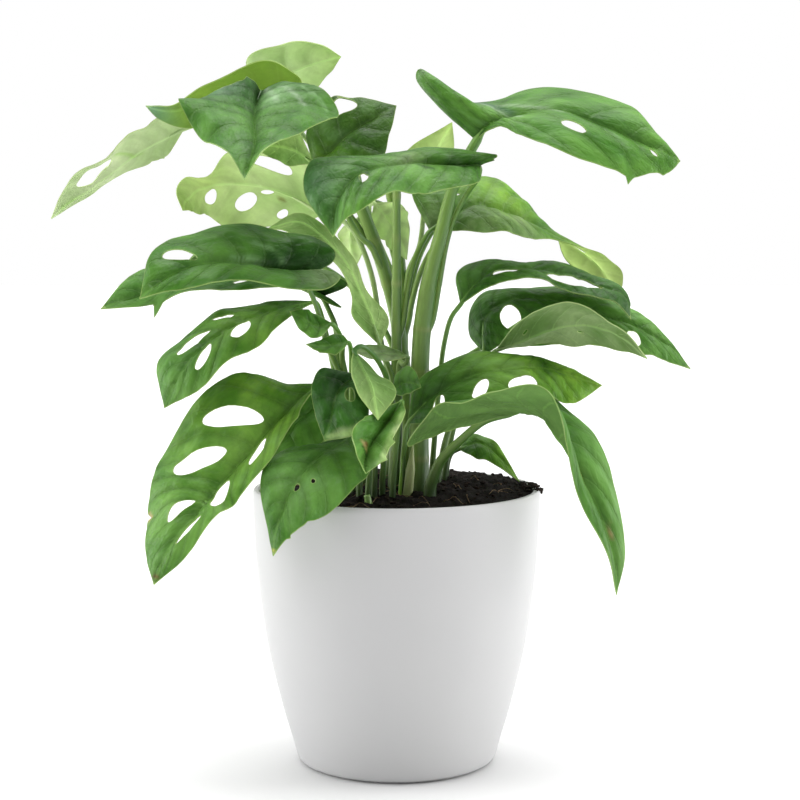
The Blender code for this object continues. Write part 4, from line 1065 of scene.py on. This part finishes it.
def giveLeafFinishes(mesh):
    for finish in leafFinishes:
        mesh.materials.append(finishes[finish])


def thicken(made):
    # Gives a drawn blade its thickness, with other finishes under it and on its edges
    pick(made)
    skin = made.modifiers.new("thickness", "SOLIDIFY")
    skin.thickness = blade["thickness"] * mm
    skin.offset = 0
    skin.use_even_offset = False
    skin.material_offset = 1
    skin.material_offset_rim = 2
    bpy.ops.object.modifier_apply(modifier=skin.name)
    bpy.ops.object.shade_smooth_by_angle(angle=math.radians(60))


def makeBlade(name, leaf):
    drawn = drawBlade(name, leaf)
    used = sorted({corner for triangle in drawn["triangles"] for corner in triangle})
    number = {corner: index for index, corner in enumerate(used)}
    faces = [[number[corner] for corner in triangle] for triangle in drawn["triangles"]]
    made = newObject(name + "_blade", [drawn["points"][corner] for corner in used], faces)
    length = drawn["length"]
    low, high = bladeColours(name, leaf)
    veins = []
    flats = []
    colours = []
    for corner in used:
        place, side = drawn["pairs"][corner]
        width = drawn["rows"][place]["out"][-1 if side < 0 else 1].length
        veins.append((veinPlace(place, side) * veinCount(length), place))
        flats.append((place * length, side * width))
        colours.append(markedColour(name, blend(low, high, place), place, side, length, width))
    mesh = made.data
    distances = rimDistances(drawn)
    setPointUv(mesh, "veins", veins)
    setPointUv(mesh, "flat", flats)
    setPointColour(mesh, colours)
    setPointNumber(mesh, "rim", [distances[corner] for corner in used])
    setPointNumber(mesh, "dull", [greyness[leaf["age"]] for _ in used])
    giveLeafFinishes(mesh)
    thicken(made)
    return made, drawn


stems = {
    "sides": 12,
    "shootSides": 20,
    "ringGap": 21,  # how far apart a shoot's rings lie, in mm
    "ringStart": 7,
    "ringSwell": 0.2,
    "ringHalf": 1.6,
    "shade": 16,  # how fast the painted shade of the dark feet fades above the soil, in mm
    "clear": 1000,  # a height at which nothing of that is left
    "flare": 1.35,  # how much wider a stalk's foot is, and how fast it narrows, in mm
    "flareReach": 8,
    "shootFlare": 1.08,
    "tail": 10,  # how many points of a stalk thin out under its blade, and to what share
    "tailShare": 0.35,
    "footRise": 2.5,
}


def stalkRoute(leaf, curves, radii):
    # A stalk's centre line, from where it stands to a little way under the midrib
    stalk = [seenPoint(*point) for point in leaf["stalk"]][::-1]
    kind, place = leaf["root"]
    if kind == "soil":
        foot = seenPoint(*place)
        ground = soilHeight(foot.x, foot.y)
        start = [Vector((foot.x, foot.y, ground - blade["rootDepth"]))]
        curve = [Vector((foot.x, foot.y, ground + stems["footRise"]))]
    elif place == "top":
        route = shootRoute(kind)
        ahead = (route[-1] - route[-2]).normalized()
        start = []
        curve = [route[-1] - ahead * 3, route[-1] + ahead * 4]
    else:
        centre, ahead, shootRadius = shootPlace(kind, place)
        out = stalk[0] - centre
        out = (out - ahead * out.dot(ahead)).normalized()
        beside = centre + out * (shootRadius + radii[0] * 0.3)
        start = []
        curve = [centre - ahead * 9, beside, beside + ahead * blade["clasp"] + out * radii[0] * 0.7]
    under = bladeNormal(curves, 0.1) * (radii[1] * 0.35)
    midrib = curves["midrib"]
    curve += stalk + [midrib[0], along(midrib, 0.07) - under, along(midrib, 0.14) - under * 0.6]
    return start + smoothRoute(curve)


def ringFaces(low, high, count):
    # Four-cornered faces between two rings, given by the numbers of their first points
    return [[low + k, low + (k + 1) % count, high + (k + 1) % count, high + k] for k in range(count)]


def onCircle(radius, turn):
    return radius * math.cos(turn), radius * math.sin(turn)


def tube(route, widths, sides):
    # A closed tube along a route: points, faces and each point's place round and along it
    points = []
    places = []
    side = None
    far = 0
    for index, centre in enumerate(route):
        ahead = (route[min(index + 1, len(route) - 1)] - route[max(index - 1, 0)]).normalized()
        if side is None:
            side = ahead.cross(Vector((0, 1, 0))).normalized()
        side = (side - ahead * side.dot(ahead)).normalized()
        other = ahead.cross(side)
        if index:
            far += (centre - route[index - 1]).length
        for corner in range(sides):
            turn = 2 * math.pi * corner / sides
            points.append(centre + (side * math.cos(turn) + other * math.sin(turn)) * widths[index])
            places.append((abs(1 - 2 * corner / sides), far))
    faces = [list(range(sides))[::-1], [len(points) - sides + corner for corner in range(sides)]]
    for ring in range(len(route) - 1):
        faces += ringFaces(ring * sides, (ring + 1) * sides, sides)
    return points, faces, places


def widthsAlong(route, low, high, flare=1.0):
    # Widths that narrow evenly along a route, with a wider foot
    lengths = [0]
    for a, b in zip(route, route[1:]):
        lengths.append(lengths[-1] + (b - a).length)
    widths = []
    for far in lengths:
        swell = 1 + (flare - 1) * math.exp(-far / stems["flareReach"])
        widths.append((low + (high - low) * far / lengths[-1]) * swell)
    return widths


def stemLitAndShaded(around):
    # Painted light and shade: a stem is paler on the side that faces the viewer's left and darker on the
    # other
    return blend(linear("stemShadedSide"), linear("stem"), min(1, max(0, around * 2.2 - 0.6)))


def stemColour(around, above):
    # A stem's colour, with painted shade that darkens it towards the soil
    return blend(stemLitAndShaded(around), linear("stemPaintedShade"), 0.85 * math.exp(-max(above, 0) / stems["shade"]))


# Dry sheaths and stubs beside the stalks' feet: where from and to across, up and back, and widths, in mm.
sheaths = {
    "leaf_right_low": (
        {"from": (5.1, 128.3, -13), "to": (8.0, 155, -13), "widths": (2.7, 2.3, 0.3), "paint": "sheath"},
        {"from": (1.4, 126.8, -14.5), "to": (2.7, 148.2, -14), "widths": (0.9, 0.8, 0.15), "paint": "vivid"},
    ),
    "leaf_front_low": (
        {"from": (-12.9, 123.9, -30), "to": (-14.4, 130.7, -30), "widths": (1.7, 1.7, 1.5), "paint": "soft"},
    ),
}


def makeSheaths(name):
    # Dry sheaths and stubs that stand beside a stalk's foot
    made = []
    count = 12
    for sheath in sheaths.get(name, ()):
        low = seenPoint(*sheath["from"])
        high = seenPoint(*sheath["to"])
        foot, waist, tip = sheath["widths"]
        route = [low.lerp(high, step / (count - 1)) for step in range(count)]
        widths = []
        for step in range(count):
            wide = foot + (waist - foot) * min(1, step / 4)
            widths.append(min(wide, tip + (waist - tip) * ((count - 1 - step) / 5)))
        points, faces, places = tube(route, widths, stems["sides"])
        body = newObject(name + "_sheath", points, faces)
        tone = linear(sheath["paint"])
        # Painted shade darkens one side of each sheath
        finishStem(body, places, [blend(tone, linear("stemPaintedShade"), 0.35 * (1 - place[0])) for place in places])
        made.append(body)
    return made


def finishStem(body, places, colours):
    # The skin, colours and marks that a stalk's body shares with its blade
    for name in ("flat", "veins"):
        setPointUv(body.data, name, places)
    setPointColour(body.data, colours)
    setPointNumber(body.data, "rim", [blade["rimReach"] for _ in places])
    setPointNumber(body.data, "dull", [0 for _ in places])
    giveLeafFinishes(body.data)
    for face in body.data.polygons:
        face.material_index = leafFinishes.index("stalk")
    pick(body)
    bpy.ops.object.shade_smooth()


def makeStalk(name, leaf, drawn):
    radii = leaf.get("stalkRadii", blade["stalkRadii"])
    route = roundOff(stalkRoute(leaf, drawn["curves"], radii))
    kind, place = leaf["root"]
    flare = shoots[kind]["radii"][1] / radii[0] if place == "top" else stems["flare"]
    widths = widthsAlong(route, radii[0], radii[1], flare)
    share = stems["tailShare"]
    for step in range(1, stems["tail"]):
        widths[-step] *= share + (1 - share) * (step - 1) / (stems["tail"] - 1)
    points, faces, places = tube(route, widths, stems["sides"])
    made = newObject(name + "_stalk", points, faces)
    tone = bladeColours(name, leaf)[0]
    reach = places[-1][1]
    # A stalk on a shoot has no painted shade at its foot
    buried = blade["rootDepth"] if kind == "soil" else -stems["clear"]
    colours = []
    for around, far in places:
        colours.append(blend(stemColour(around, far - buried), tone, 0.7 * (far / reach) ** 2))
    finishStem(made, places, colours)
    return made


def makeLeaf(name, leaf):
    # One leaf, blade and stalk grown together, in place of its solid
    body, drawn = makeBlade(name, leaf)
    others = [makeStalk(name, leaf, drawn)] + makeSheaths(name)
    pick(body)
    for other in others:
        other.select_set(True)
    bpy.ops.object.join()
    body.name = name + "_grown"
    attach(body, "root")
    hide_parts(name)
    return body


def ringNearness(far, half):
    # How near a place on a shoot is to one of its rings, 1 on the ring and 0 well away from it
    away = (far + stems["ringStart"]) % stems["ringGap"] - stems["ringGap"] / 2
    return math.exp(-((away / half) ** 2))


def makeShoot(name):
    route = roundOff(shootRoute(name), 3)
    low, high = shoots[name]["radii"]
    widths = widthsAlong(route, low, high, stems["shootFlare"])
    far = 0
    for index in range(len(route)):
        if index:
            far += (route[index] - route[index - 1]).length
        widths[index] += stems["ringSwell"] * ringNearness(far, stems["ringHalf"])
    points, faces, places = tube(route, widths, stems["shootSides"])
    made = newObject(name + "_grown", points, faces)
    setPointUv(made.data, "flat", places)
    colours = []
    for around, far in places:
        tone = stemColour(around, far - blade["rootDepth"])
        colours.append(blend(tone, linear("tan"), 0.12 * ringNearness(far, 1.2)))
    setPointColour(made.data, colours)
    made.data.materials.append(finishes["stalk"])
    pick(made)
    bpy.ops.object.shade_smooth()
    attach(made, "root")
    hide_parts(name)
    return made


def curveThrough(points, parts):
    # More points on the smooth line through a profile's points
    line = [Vector((radius, height)) for radius, height in points]
    return [along(line, k / ((len(line) - 1) * parts)) for k in range((len(line) - 1) * parts + 1)]


pot = {
    "height": 134,
    "profile": (
        (44.5, 0), (47, 0.8), (49, 3), (51.5, 12), (56, 27), (63, 57), (67.8, 92), (69.7, 122), (70, 132.6),
        (69.3, 134), (67.6, 134), (66.7, 133.2), (66.6, 126), (64.6, 92), (59.8, 57), (52.8, 27),
    ),
    "lip": (9, 12),  # the profile's points between these make the rim's sharp corners
    "floor": ((48, 3.5), (30, 3.2), (0.0, 3.2)),
    "foot": ((0.0, 0), (30, 0)),
    "steps": 144,
}


def makePot():
    # Turned from its profile: the foot's middle, the outside, the rim, the inside and the floor's middle
    first, last = pot["lip"]
    rows = [Vector(point) for point in pot["foot"]]
    rows += curveThrough(pot["profile"][:first], 5)
    rows += [Vector(point) for point in pot["profile"][first:last]]
    rows += curveThrough(pot["profile"][last:], 3)
    rows += [Vector(point) for point in pot["floor"]]
    spun = bpy.data.meshes.new("pot_turned")
    spun.from_pydata([(v.x * mm, 0, v.y * mm) for v in rows], [(k, k + 1) for k in range(len(rows) - 1)], [])
    made = bpy.data.objects.new("pot_turned", spun)
    bpy.context.scene.collection.objects.link(made)
    pick(made)
    bpy.ops.object.mode_set(mode="EDIT")
    bpy.ops.mesh.select_all(action="SELECT")
    bpy.ops.mesh.spin(steps=pot["steps"], angle=2 * math.pi, center=(0, 0, 0), axis=(0, 0, 1))
    bpy.ops.mesh.select_all(action="SELECT")
    bpy.ops.mesh.remove_doubles(threshold=0.00002)
    bpy.ops.mesh.normals_make_consistent(inside=False)
    bpy.ops.object.mode_set(mode="OBJECT")
    bpy.ops.object.shade_smooth_by_angle(angle=math.radians(35))
    made.data.materials.append(finishes["pot"])
    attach(made, "root")
    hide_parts("pot")
    return made


def soilTop(x, y):
    # The soil's height with its lumps and crumbs
    spot = Vector((x, y, 3.0))
    lumps = 0
    for size, height in soil["lumps"]:
        lumps += height * noise.noise(spot / size)
    return soilHeight(x, y) - 0.4 + lumps


def makeSoil():
    points = []
    faces = []
    steps = soil["steps"]
    for ring in range(soil["rings"] + 1):
        radius = soil["radius"] * (1 - ring / (soil["rings"] + 1))
        for corner in range(steps):
            x, y = onCircle(radius, 2 * math.pi * (corner + 0.5 * (ring % 2)) / steps)
            points.append((x, y, soilTop(x, y)))
    for ring in range(soil["rings"]):
        faces += ringFaces(ring * steps, (ring + 1) * steps, steps)
    points.append((0, 0, soilTop(0, 0)))
    last = len(points) - 1
    for corner in range(steps):
        faces.append([last - steps + corner, last - steps + (corner + 1) % steps, last])
    high = 0
    for radius, height in soil["wall"]:
        low = len(points)
        points += [(*onCircle(radius, 2 * math.pi * corner / steps), height) for corner in range(steps)]
        faces += ringFaces(low, high, steps)
        high = low
    faces.append([low + corner for corner in range(steps)][::-1])
    made = newObject("soil_filled", points, faces)
    made.data.materials.append(finishes["soil"])
    pick(made)
    bpy.ops.object.shade_smooth_by_angle(angle=math.radians(50))
    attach(made, "root")
    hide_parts("soil")
    return made


crumbs = {
    "scattered": 900,
    "smallest": 0.35,
    "spread": 1.3,
    "stretch": ((0.6, 1.9), (0.6, 1.2), (0.3, 0.7)),
    "rough": (0.6, 1.4),
    "clump": 46,  # how many lie in the clump at the rim, how far round, how far out and how large
    "clumpTurn": (0.02, 0.07),
    "clumpReach": (62, 71.5),
    "clumpSizes": (0.6, 1.5),
    "clumpRise": 2.5,
    "rim": (66.5, 69.5),  # the rim's inside and outside, as the clump lies on it
    "rimSink": 0.3,
    "rimSlope": 2.5,
}


def rimTop(radius):
    # What a crumb lies on beside the rim: the soil, the rim's top, or other crumbs outside it
    inside, outside = crumbs["rim"]
    if radius < inside:
        return soil["edge"] + crumbs["clumpRise"]
    return pot["height"] - crumbs["rimSink"] - crumbs["rimSlope"] * max(0, radius - outside)


def makeCrumbs():
    # Crumbs of peat and bark that lie on the soil
    draw = random.Random(11)
    points = []
    faces = []
    bpy.ops.mesh.primitive_ico_sphere_add(subdivisions=1, radius=1, location=(0, 0, 0))
    pattern = bpy.context.view_layer.objects.active
    corners = [vertex.co.copy() for vertex in pattern.data.vertices]
    sides = [list(face.vertices) for face in pattern.data.polygons]
    bpy.data.objects.remove(pattern)
    for crumb in range(crumbs["scattered"] + crumbs["clump"]):
        isScattered = crumb < crumbs["scattered"]
        turn = draw.uniform(0, 2 * math.pi)
        radius = (soil["radius"] - 2) * math.sqrt(draw.random())
        size = crumbs["smallest"] + crumbs["spread"] * draw.random() ** 3
        if not isScattered:
            turn = draw.gauss(*crumbs["clumpTurn"])
            radius = draw.uniform(*crumbs["clumpReach"])
            size = draw.uniform(*crumbs["clumpSizes"])
        x, y = onCircle(radius, turn)
        ground = soilTop(x, y) if isScattered else rimTop(radius) + size * 0.7
        stretch = Vector([draw.uniform(*part) for part in crumbs["stretch"]])
        first = len(points)
        spin = draw.uniform(0, math.pi)
        for corner in corners:
            out = Vector([a * b * size * draw.uniform(*crumbs["rough"]) for a, b in zip(corner, stretch)])
            px = out.x * math.cos(spin) - out.y * math.sin(spin)
            py = out.x * math.sin(spin) + out.y * math.cos(spin)
            points.append((x + px, y + py, ground + out.z + 0.2 * size))
        faces += [[first + corner for corner in side] for side in sides]
    made = newObject("soil_crumbs", points, faces)
    made.data.materials.append(finishes["crumb"])
    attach(made, "root")
    return made


fibres = {
    "count": 40,
    "inset": 12,
    "points": 9,
    "step": 1.5,
    "wander": 0.5,
    "lift": (0.3, 1.2),
    "sides": 5,
    "radii": (0.12, 0.25),
}


def makeFibres():
    # Fine roots and peat fibres on the soil
    draw = random.Random(5)
    points = []
    faces = []
    count = fibres["points"]
    for _ in range(fibres["count"]):
        turn = draw.uniform(0, 2 * math.pi)
        radius = (soil["radius"] - fibres["inset"]) * math.sqrt(draw.random())
        place = Vector((*onCircle(radius, turn), 0))
        heading = draw.uniform(0, 2 * math.pi)
        route = []
        for step in range(count):
            place = place + Vector((math.cos(heading), math.sin(heading), 0)) * fibres["step"]
            heading += draw.uniform(-fibres["wander"], fibres["wander"])
            low, more = fibres["lift"]
            lift = low + more * math.sin(math.pi * step / (count - 1))
            route.append(Vector((place.x, place.y, soilTop(place.x, place.y) + lift)))
        route = roundOff(route, 1)
        width = draw.uniform(*fibres["radii"])
        tubePoints, sides, _ = tube(route, [width] * len(route), fibres["sides"])
        first = len(points)
        points += tubePoints
        faces += [[first + corner for corner in side] for side in sides]
    made = newObject("soil_fibres", points, faces)
    made.data.materials.append(finishes["fibre"])
    pick(made)
    bpy.ops.object.shade_smooth()
    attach(made, "root")
    return made


def newMaterial(name, **sockets):
    # A new material with the given numbers in its shader's sockets, as in Specular_IOR_Level=0.2
    made = bpy.data.materials.new(name)
    made.use_nodes = True
    shader = made.node_tree.nodes["Principled BSDF"]
    feed(made.node_tree, shader, {key.replace("_", " "): value for key, value in sockets.items()})
    return made, made.node_tree, shader


def feed(tree, node, sockets):
    # Puts numbers, colours and the outputs of other nodes into a node's sockets
    for name, value in sockets.items():
        if isinstance(value, (int, float)):
            node.inputs[name].default_value = value
        elif isinstance(value, (list, tuple)):
            node.inputs[name].default_value = (value[0], value[1], value[2], 1)
        else:
            tree.links.new(value, node.inputs[name])


def addNode(tree, kind, sockets=None, **settings):
    node = tree.nodes.new(kind)
    for key, value in settings.items():
        setattr(node, key, value)
    feed(tree, node, sockets or {})
    return node


def noiseOn(tree, place, scale, detail=3, rough=0.5):
    sockets = {"Vector": place, "Scale": scale, "Detail": detail, "Roughness": rough}
    return addNode(tree, "ShaderNodeTexNoise", sockets).outputs["Fac"]


def ramp(tree, source, low, high, start, end, curve="SMOOTHSTEP"):
    # Turns source from low..high into start..end
    sockets = {"Value": source, "From Min": low, "From Max": high, "To Min": start, "To Max": end}
    node = addNode(tree, "ShaderNodeMapRange", sockets, clamp=True, interpolation_type=curve)
    return node.outputs["Result"]


def maths(tree, operation, *parts):
    return addNode(tree, "ShaderNodeMath", dict(enumerate(parts)), operation=operation).outputs["Value"]


def times(tree, first, second):
    return maths(tree, "MULTIPLY", first, second)


def plus(tree, first, second):
    return maths(tree, "ADD", first, second)


def mixColour(tree, share, first, second, kind="MIX"):
    sockets = {"Factor": share, 6: first, 7: second}
    return addNode(tree, "ShaderNodeMix", sockets, data_type="RGBA", blend_type=kind).outputs[2]


def scaleColour(tree, colour, share):
    sockets = {0: colour, "Scale": share}
    return addNode(tree, "ShaderNodeVectorMath", sockets, operation="SCALE").outputs["Vector"]


def bump(tree, shader, height, distance, strength):
    sockets = {"Height": height, "Distance": distance, "Strength": strength}
    feed(tree, shader, {"Normal": addNode(tree, "ShaderNodeBump", sockets).outputs["Normal"]})


def uvOn(tree, name):
    return addNode(tree, "ShaderNodeUVMap", uv_map=name).outputs["UV"]


def attributeOn(tree, name, output):
    return addNode(tree, "ShaderNodeAttribute", attribute_name=name).outputs[output]


def split(tree, vector):
    return addNode(tree, "ShaderNodeSeparateXYZ", {"Vector": vector}).outputs


def joinUv(tree, across, along):
    return addNode(tree, "ShaderNodeCombineXYZ", {"X": across, "Y": along}).outputs["Vector"]


# What sets a blade's upper side apart from its paler, duller underside. The veins' pair runs from young to
# mature leaves, and the other pairs from low to high. The valley pair paints shade in the vein valleys and
# light on the bulges, and the number beside the midrib paints shade in its groove.
bladeSides = {
    "leafTop": {
        "veinValleyShade": (0.86, 1.06), "midribGrooveShade": 0.82, "veins": (0.06, 0.12), "midrib": 0.3,
        "rough": (0.3, 0.55), "gloss": 0.26, "relief": 0.0004, "glow": 0.3,
    },
    "leafUnder": {
        "veinValleyShade": (0.95, 1.04), "midribGrooveShade": 1, "veins": (0.12, 0.35), "midrib": 0.6,
        "rough": (0.6, 0.75), "gloss": 0.15, "relief": -0.0004, "glow": 0.1,
    },
}


def veinLines(tree, flat, rim, veins):
    # How near a place is to a side vein, as a distance and as a line that fades at the blade's edges
    wobble = ramp(tree, noiseOn(tree, flat, 0.5, 2), 0.3, 0.7, -0.03, 0.03, "LINEAR")
    away = plus(tree, maths(tree, "PINGPONG", veins, 0.5), wobble)
    return away, times(tree, ramp(tree, away, 0.0, 0.06, 1, 0), ramp(tree, rim, 0, 2.6, 0, 1))


def mottledColour(tree, flat, dull, tint):
    # A leaf's colour with its large and small patches, stronger on mature leaves
    patches = times(tree, noiseOn(tree, flat, 0.1, 3, 0.6), 0.35)
    broad = times(tree, noiseOn(tree, flat, 0.035, 2, 0.5), 0.65)
    mottle = maths(tree, "SUBTRACT", plus(tree, patches, broad), 0.5)
    mottle = times(tree, mottle, ramp(tree, dull, 0, 0.4, 1.2, 5))
    mottle = ramp(tree, plus(tree, mottle, 0.5), 0, 1, 0, 1, "LINEAR")
    colour = mixColour(tree, mottle, (0.55, 0.7, 0.42), (1.42, 1.26, 1.5))
    return mixColour(tree, 1, colour, tint, "MULTIPLY")


def leafRelief(tree, flat, dull, veinLine, fine):
    # The net of small veins, the grain, the side veins and slow dents
    net = addNode(tree, "ShaderNodeTexVoronoi", {"Scale": 0.3, "Vector": flat}, feature="DISTANCE_TO_EDGE")
    netLine = ramp(tree, net.outputs["Distance"], 0, 0.14, 0, 1)
    height = plus(tree, times(tree, netLine, 0.25), times(tree, fine, 0.2))
    height = plus(tree, height, times(tree, veinLine, -0.7))
    height = plus(tree, height, times(tree, noiseOn(tree, flat, 0.2, 2), 4))
    return times(tree, height, ramp(tree, dull, 0.05, 0.4, 0.1, 1))


def makeLeafSkin(name):
    side = bladeSides[name]
    made, tree, shader = newMaterial(name, Specular_IOR_Level=side["gloss"])
    tint = attributeOn(tree, "tint", "Color")
    rim = attributeOn(tree, "rim", "Fac")
    dull = attributeOn(tree, "dull", "Fac")
    flat = uvOn(tree, "flat")
    veins = split(tree, uvOn(tree, "veins"))["X"]
    across = maths(tree, "ABSOLUTE", split(tree, flat)["Y"])
    fromVein, veinLine = veinLines(tree, flat, rim, veins)
    fine = noiseOn(tree, flat, 0.55, 4, 0.6)
    bands = joinUv(tree, times(tree, veins, 2.3), times(tree, across, 0.07))
    streaks = noiseOn(tree, bands, 1, 4, 0.65)
    colour = mottledColour(tree, flat, dull, tint)
    streak = times(tree, ramp(tree, streaks, 0.3, 0.7, -1, 1, "LINEAR"), ramp(tree, dull, 0, 0.4, 0.05, 0.15))
    colour = scaleColour(tree, colour, plus(tree, streak, 1))
    colour = scaleColour(tree, colour, ramp(tree, fine, 0.25, 0.75, 0.95, 1.05, "LINEAR"))
    if name == "leafTop":
        # Painted sheen: pale patches on the upper side that stand for the light's reflection
        paintedSheenPatches = noiseOn(tree, flat, 0.075, 3, 0.55)
        colour = mixColour(tree, ramp(tree, paintedSheenPatches, 0.5, 0.74, 0, 0.2), colour, linear("paintedSheen"))
    # Painted shade beside the midrib, in its groove
    colour = scaleColour(tree, colour, ramp(tree, across, 0.8, 6, side["midribGrooveShade"], 1))
    # Painted shade in the vein valleys and painted light on the bulges between them
    colour = scaleColour(tree, colour, ramp(tree, fromVein, 0.0, 0.35, *side["veinValleyShade"]))
    if name == "leafUnder":
        colour = mixColour(tree, dull, colour, linear("grey"))
    vein = mixColour(tree, 0.35, scaleColour(tree, tint, 1.5), linear("vein"))
    veinShare = times(tree, veinLine, ramp(tree, dull, 0, 0.4, *side["veins"]))
    colour = mixColour(tree, veinShare, colour, vein)
    colour = mixColour(tree, times(tree, ramp(tree, across, 0.3, 1.1, 1, 0), side["midrib"]), colour, vein)
    colour = mixColour(tree, times(tree, ramp(tree, rim, 0.05, 0.6, 1, 0), 0.5), colour, linear("margin"))
    rough = ramp(tree, streaks, 0.3, 0.7, *side["rough"], "LINEAR")
    feed(tree, shader, {"Base Color": colour, "Roughness": rough})
    bump(tree, shader, leafRelief(tree, flat, dull, veinLine, fine), side["relief"], 0.7)
    glow = addNode(tree, "ShaderNodeBsdfTranslucent", {"Color": scaleColour(tree, colour, 1.35)})
    sockets = {"Fac": side["glow"], 1: shader.outputs["BSDF"], 2: glow.outputs["BSDF"]}
    mixed = addNode(tree, "ShaderNodeMixShader", sockets)
    feed(tree, tree.nodes["Material Output"], {"Surface": mixed.outputs["Shader"]})
    return made


def makeRimSkin():
    made, tree, shader = newMaterial("leafRim", Roughness=0.55)
    colour = mixColour(tree, 0.45, attributeOn(tree, "tint", "Color"), linear("margin"))
    feed(tree, shader, {"Base Color": colour})
    return made


def makeStalkSkin():
    made, tree, shader = newMaterial("stalk", Roughness=0.42)
    flat = split(tree, uvOn(tree, "flat"))
    grain = joinUv(tree, times(tree, flat["X"], 9), times(tree, flat["Y"], 0.07))
    streaks = noiseOn(tree, grain, 1.2, 4, 0.6)
    shade = ramp(tree, streaks, 0.3, 0.7, 0.84, 1.16, "LINEAR")
    feed(tree, shader, {"Base Color": scaleColour(tree, attributeOn(tree, "tint", "Color"), shade)})
    bump(tree, shader, streaks, 0.0002, 0.5)
    return made


def makeSoilSkin(name, low, high):
    made, tree, shader = newMaterial(name, Roughness=0.95, Specular_IOR_Level=0.2)
    place = addNode(tree, "ShaderNodeTexCoord").outputs["Object"]
    lumps = noiseOn(tree, place, 420, 5, 0.7)
    grains = noiseOn(tree, place, 1400, 3, 0.6)
    share = ramp(tree, lumps, 0.38, 0.68, 0, 1, "LINEAR")
    feed(tree, shader, {"Base Color": mixColour(tree, share, low, high)})
    bump(tree, shader, plus(tree, lumps, grains), 0.0009, 0.9)
    return made


def makePotSkin():
    made, tree, shader = newMaterial("potPlastic", Specular_IOR_Level=0.4)
    place = addNode(tree, "ShaderNodeTexCoord").outputs["Object"]
    cloud = ramp(tree, noiseOn(tree, place, 14, 2), 0.3, 0.7, 0, 1, "LINEAR")
    feed(tree, shader, {
        "Base Color": mixColour(tree, cloud, (0.505, 0.505, 0.51), (0.53, 0.53, 0.53)),
        "Roughness": ramp(tree, noiseOn(tree, place, 60, 3), 0.3, 0.7, 0.42, 0.5, "LINEAR"),
    })
    bump(tree, shader, noiseOn(tree, place, 2600, 2), 0.00004, 0.35)
    return made


def makeFinishes():
    return {
        "leafTop": makeLeafSkin("leafTop"),
        "leafUnder": makeLeafSkin("leafUnder"),
        "leafRim": makeRimSkin(),
        "stalk": makeStalkSkin(),
        "soil": makeSoilSkin("soilPeat", (0.003, 0.002, 0.0015), (0.015, 0.010, 0.007)),
        "crumb": makeSoilSkin("soilCrumb", (0.003, 0.002, 0.0015), (0.034, 0.019, 0.012)),
        "fibre": makeSoilSkin("soilFibre", (0.12, 0.075, 0.045), (0.30, 0.22, 0.14)),
        "pot": makePotSkin(),
    }


studio = {
    "front": 0.0,  # how bright each way round is
    "sides": 5.2,
    "above": 0.85,
    "behind": 0.5,
    "sun": 2.4,
    "softness": 50,
    "floor": 0.8,
}


def makeStage():
    bpy.ops.mesh.primitive_plane_add(size=14, location=(0, 0, -0.0002))
    floor = bpy.context.view_layer.objects.active
    floor.name = "studio_floor"
    made, tree, shader = newMaterial("studioFloor", Roughness=0.9, Base_Color=[studio["floor"]] * 3)
    floor.data.materials.append(made)
    world = bpy.data.worlds.new("studio")
    world.use_nodes = True
    tree = world.node_tree
    way = split(tree, addNode(tree, "ShaderNodeTexCoord").outputs["Generated"])
    sides = ramp(tree, maths(tree, "ABSOLUTE", way["X"]), 0.75, 0.97, studio["front"], studio["sides"])
    above = ramp(tree, way["Z"], 0.1, 0.9, 0, studio["above"])
    behind = ramp(tree, way["Y"], -0.3, 0.6, 0, studio["behind"])
    seen = addNode(tree, "ShaderNodeLightPath").outputs["Is Camera Ray"]
    glow = maths(tree, "MAXIMUM", plus(tree, plus(tree, sides, above), behind), seen)
    feed(tree, tree.nodes["Background"], {"Color": (1, 1, 1), "Strength": glow})
    bpy.context.scene.world = world


def addSun(name, place, power, softness):
    data = bpy.data.lights.new(name, "SUN")
    data.energy = power
    data.angle = math.radians(softness)
    lamp = bpy.data.objects.new(name, data)
    lamp.location = place
    lamp.rotation_euler = (-Vector(place)).to_track_quat("-Z", "Y").to_euler()
    bpy.context.scene.collection.objects.link(lamp)


def addCamera():
    data = bpy.data.cameras.new("photoCamera")
    data.lens = view["lens"]
    data.sensor_width = 36
    camera = bpy.data.objects.new("photoCamera", data)
    camera.location = view["eye"] * mm
    camera.rotation_euler = (math.pi / 2 - view["lookDown"], 0, 0)
    bpy.context.scene.collection.objects.link(camera)
    bpy.context.scene.camera = camera


addCamera()
makeStage()
addSun("topLight", (0, 0.2, 1.5), studio["sun"], studio["softness"])
bpy.context.scene.view_settings.view_transform = "Standard"
print("stage, lights and camera are in place")
finishes = makeFinishes()
makePot()
makeSoil()
makeCrumbs()
makeFibres()
print("pot and soil are made")
for shoot in shoots:
    makeShoot(shoot)
for leafName, leafShape in leaves.items():
    makeLeaf(leafName, leafShape)
print("shoots and", len(leaves), "leaves are grown")
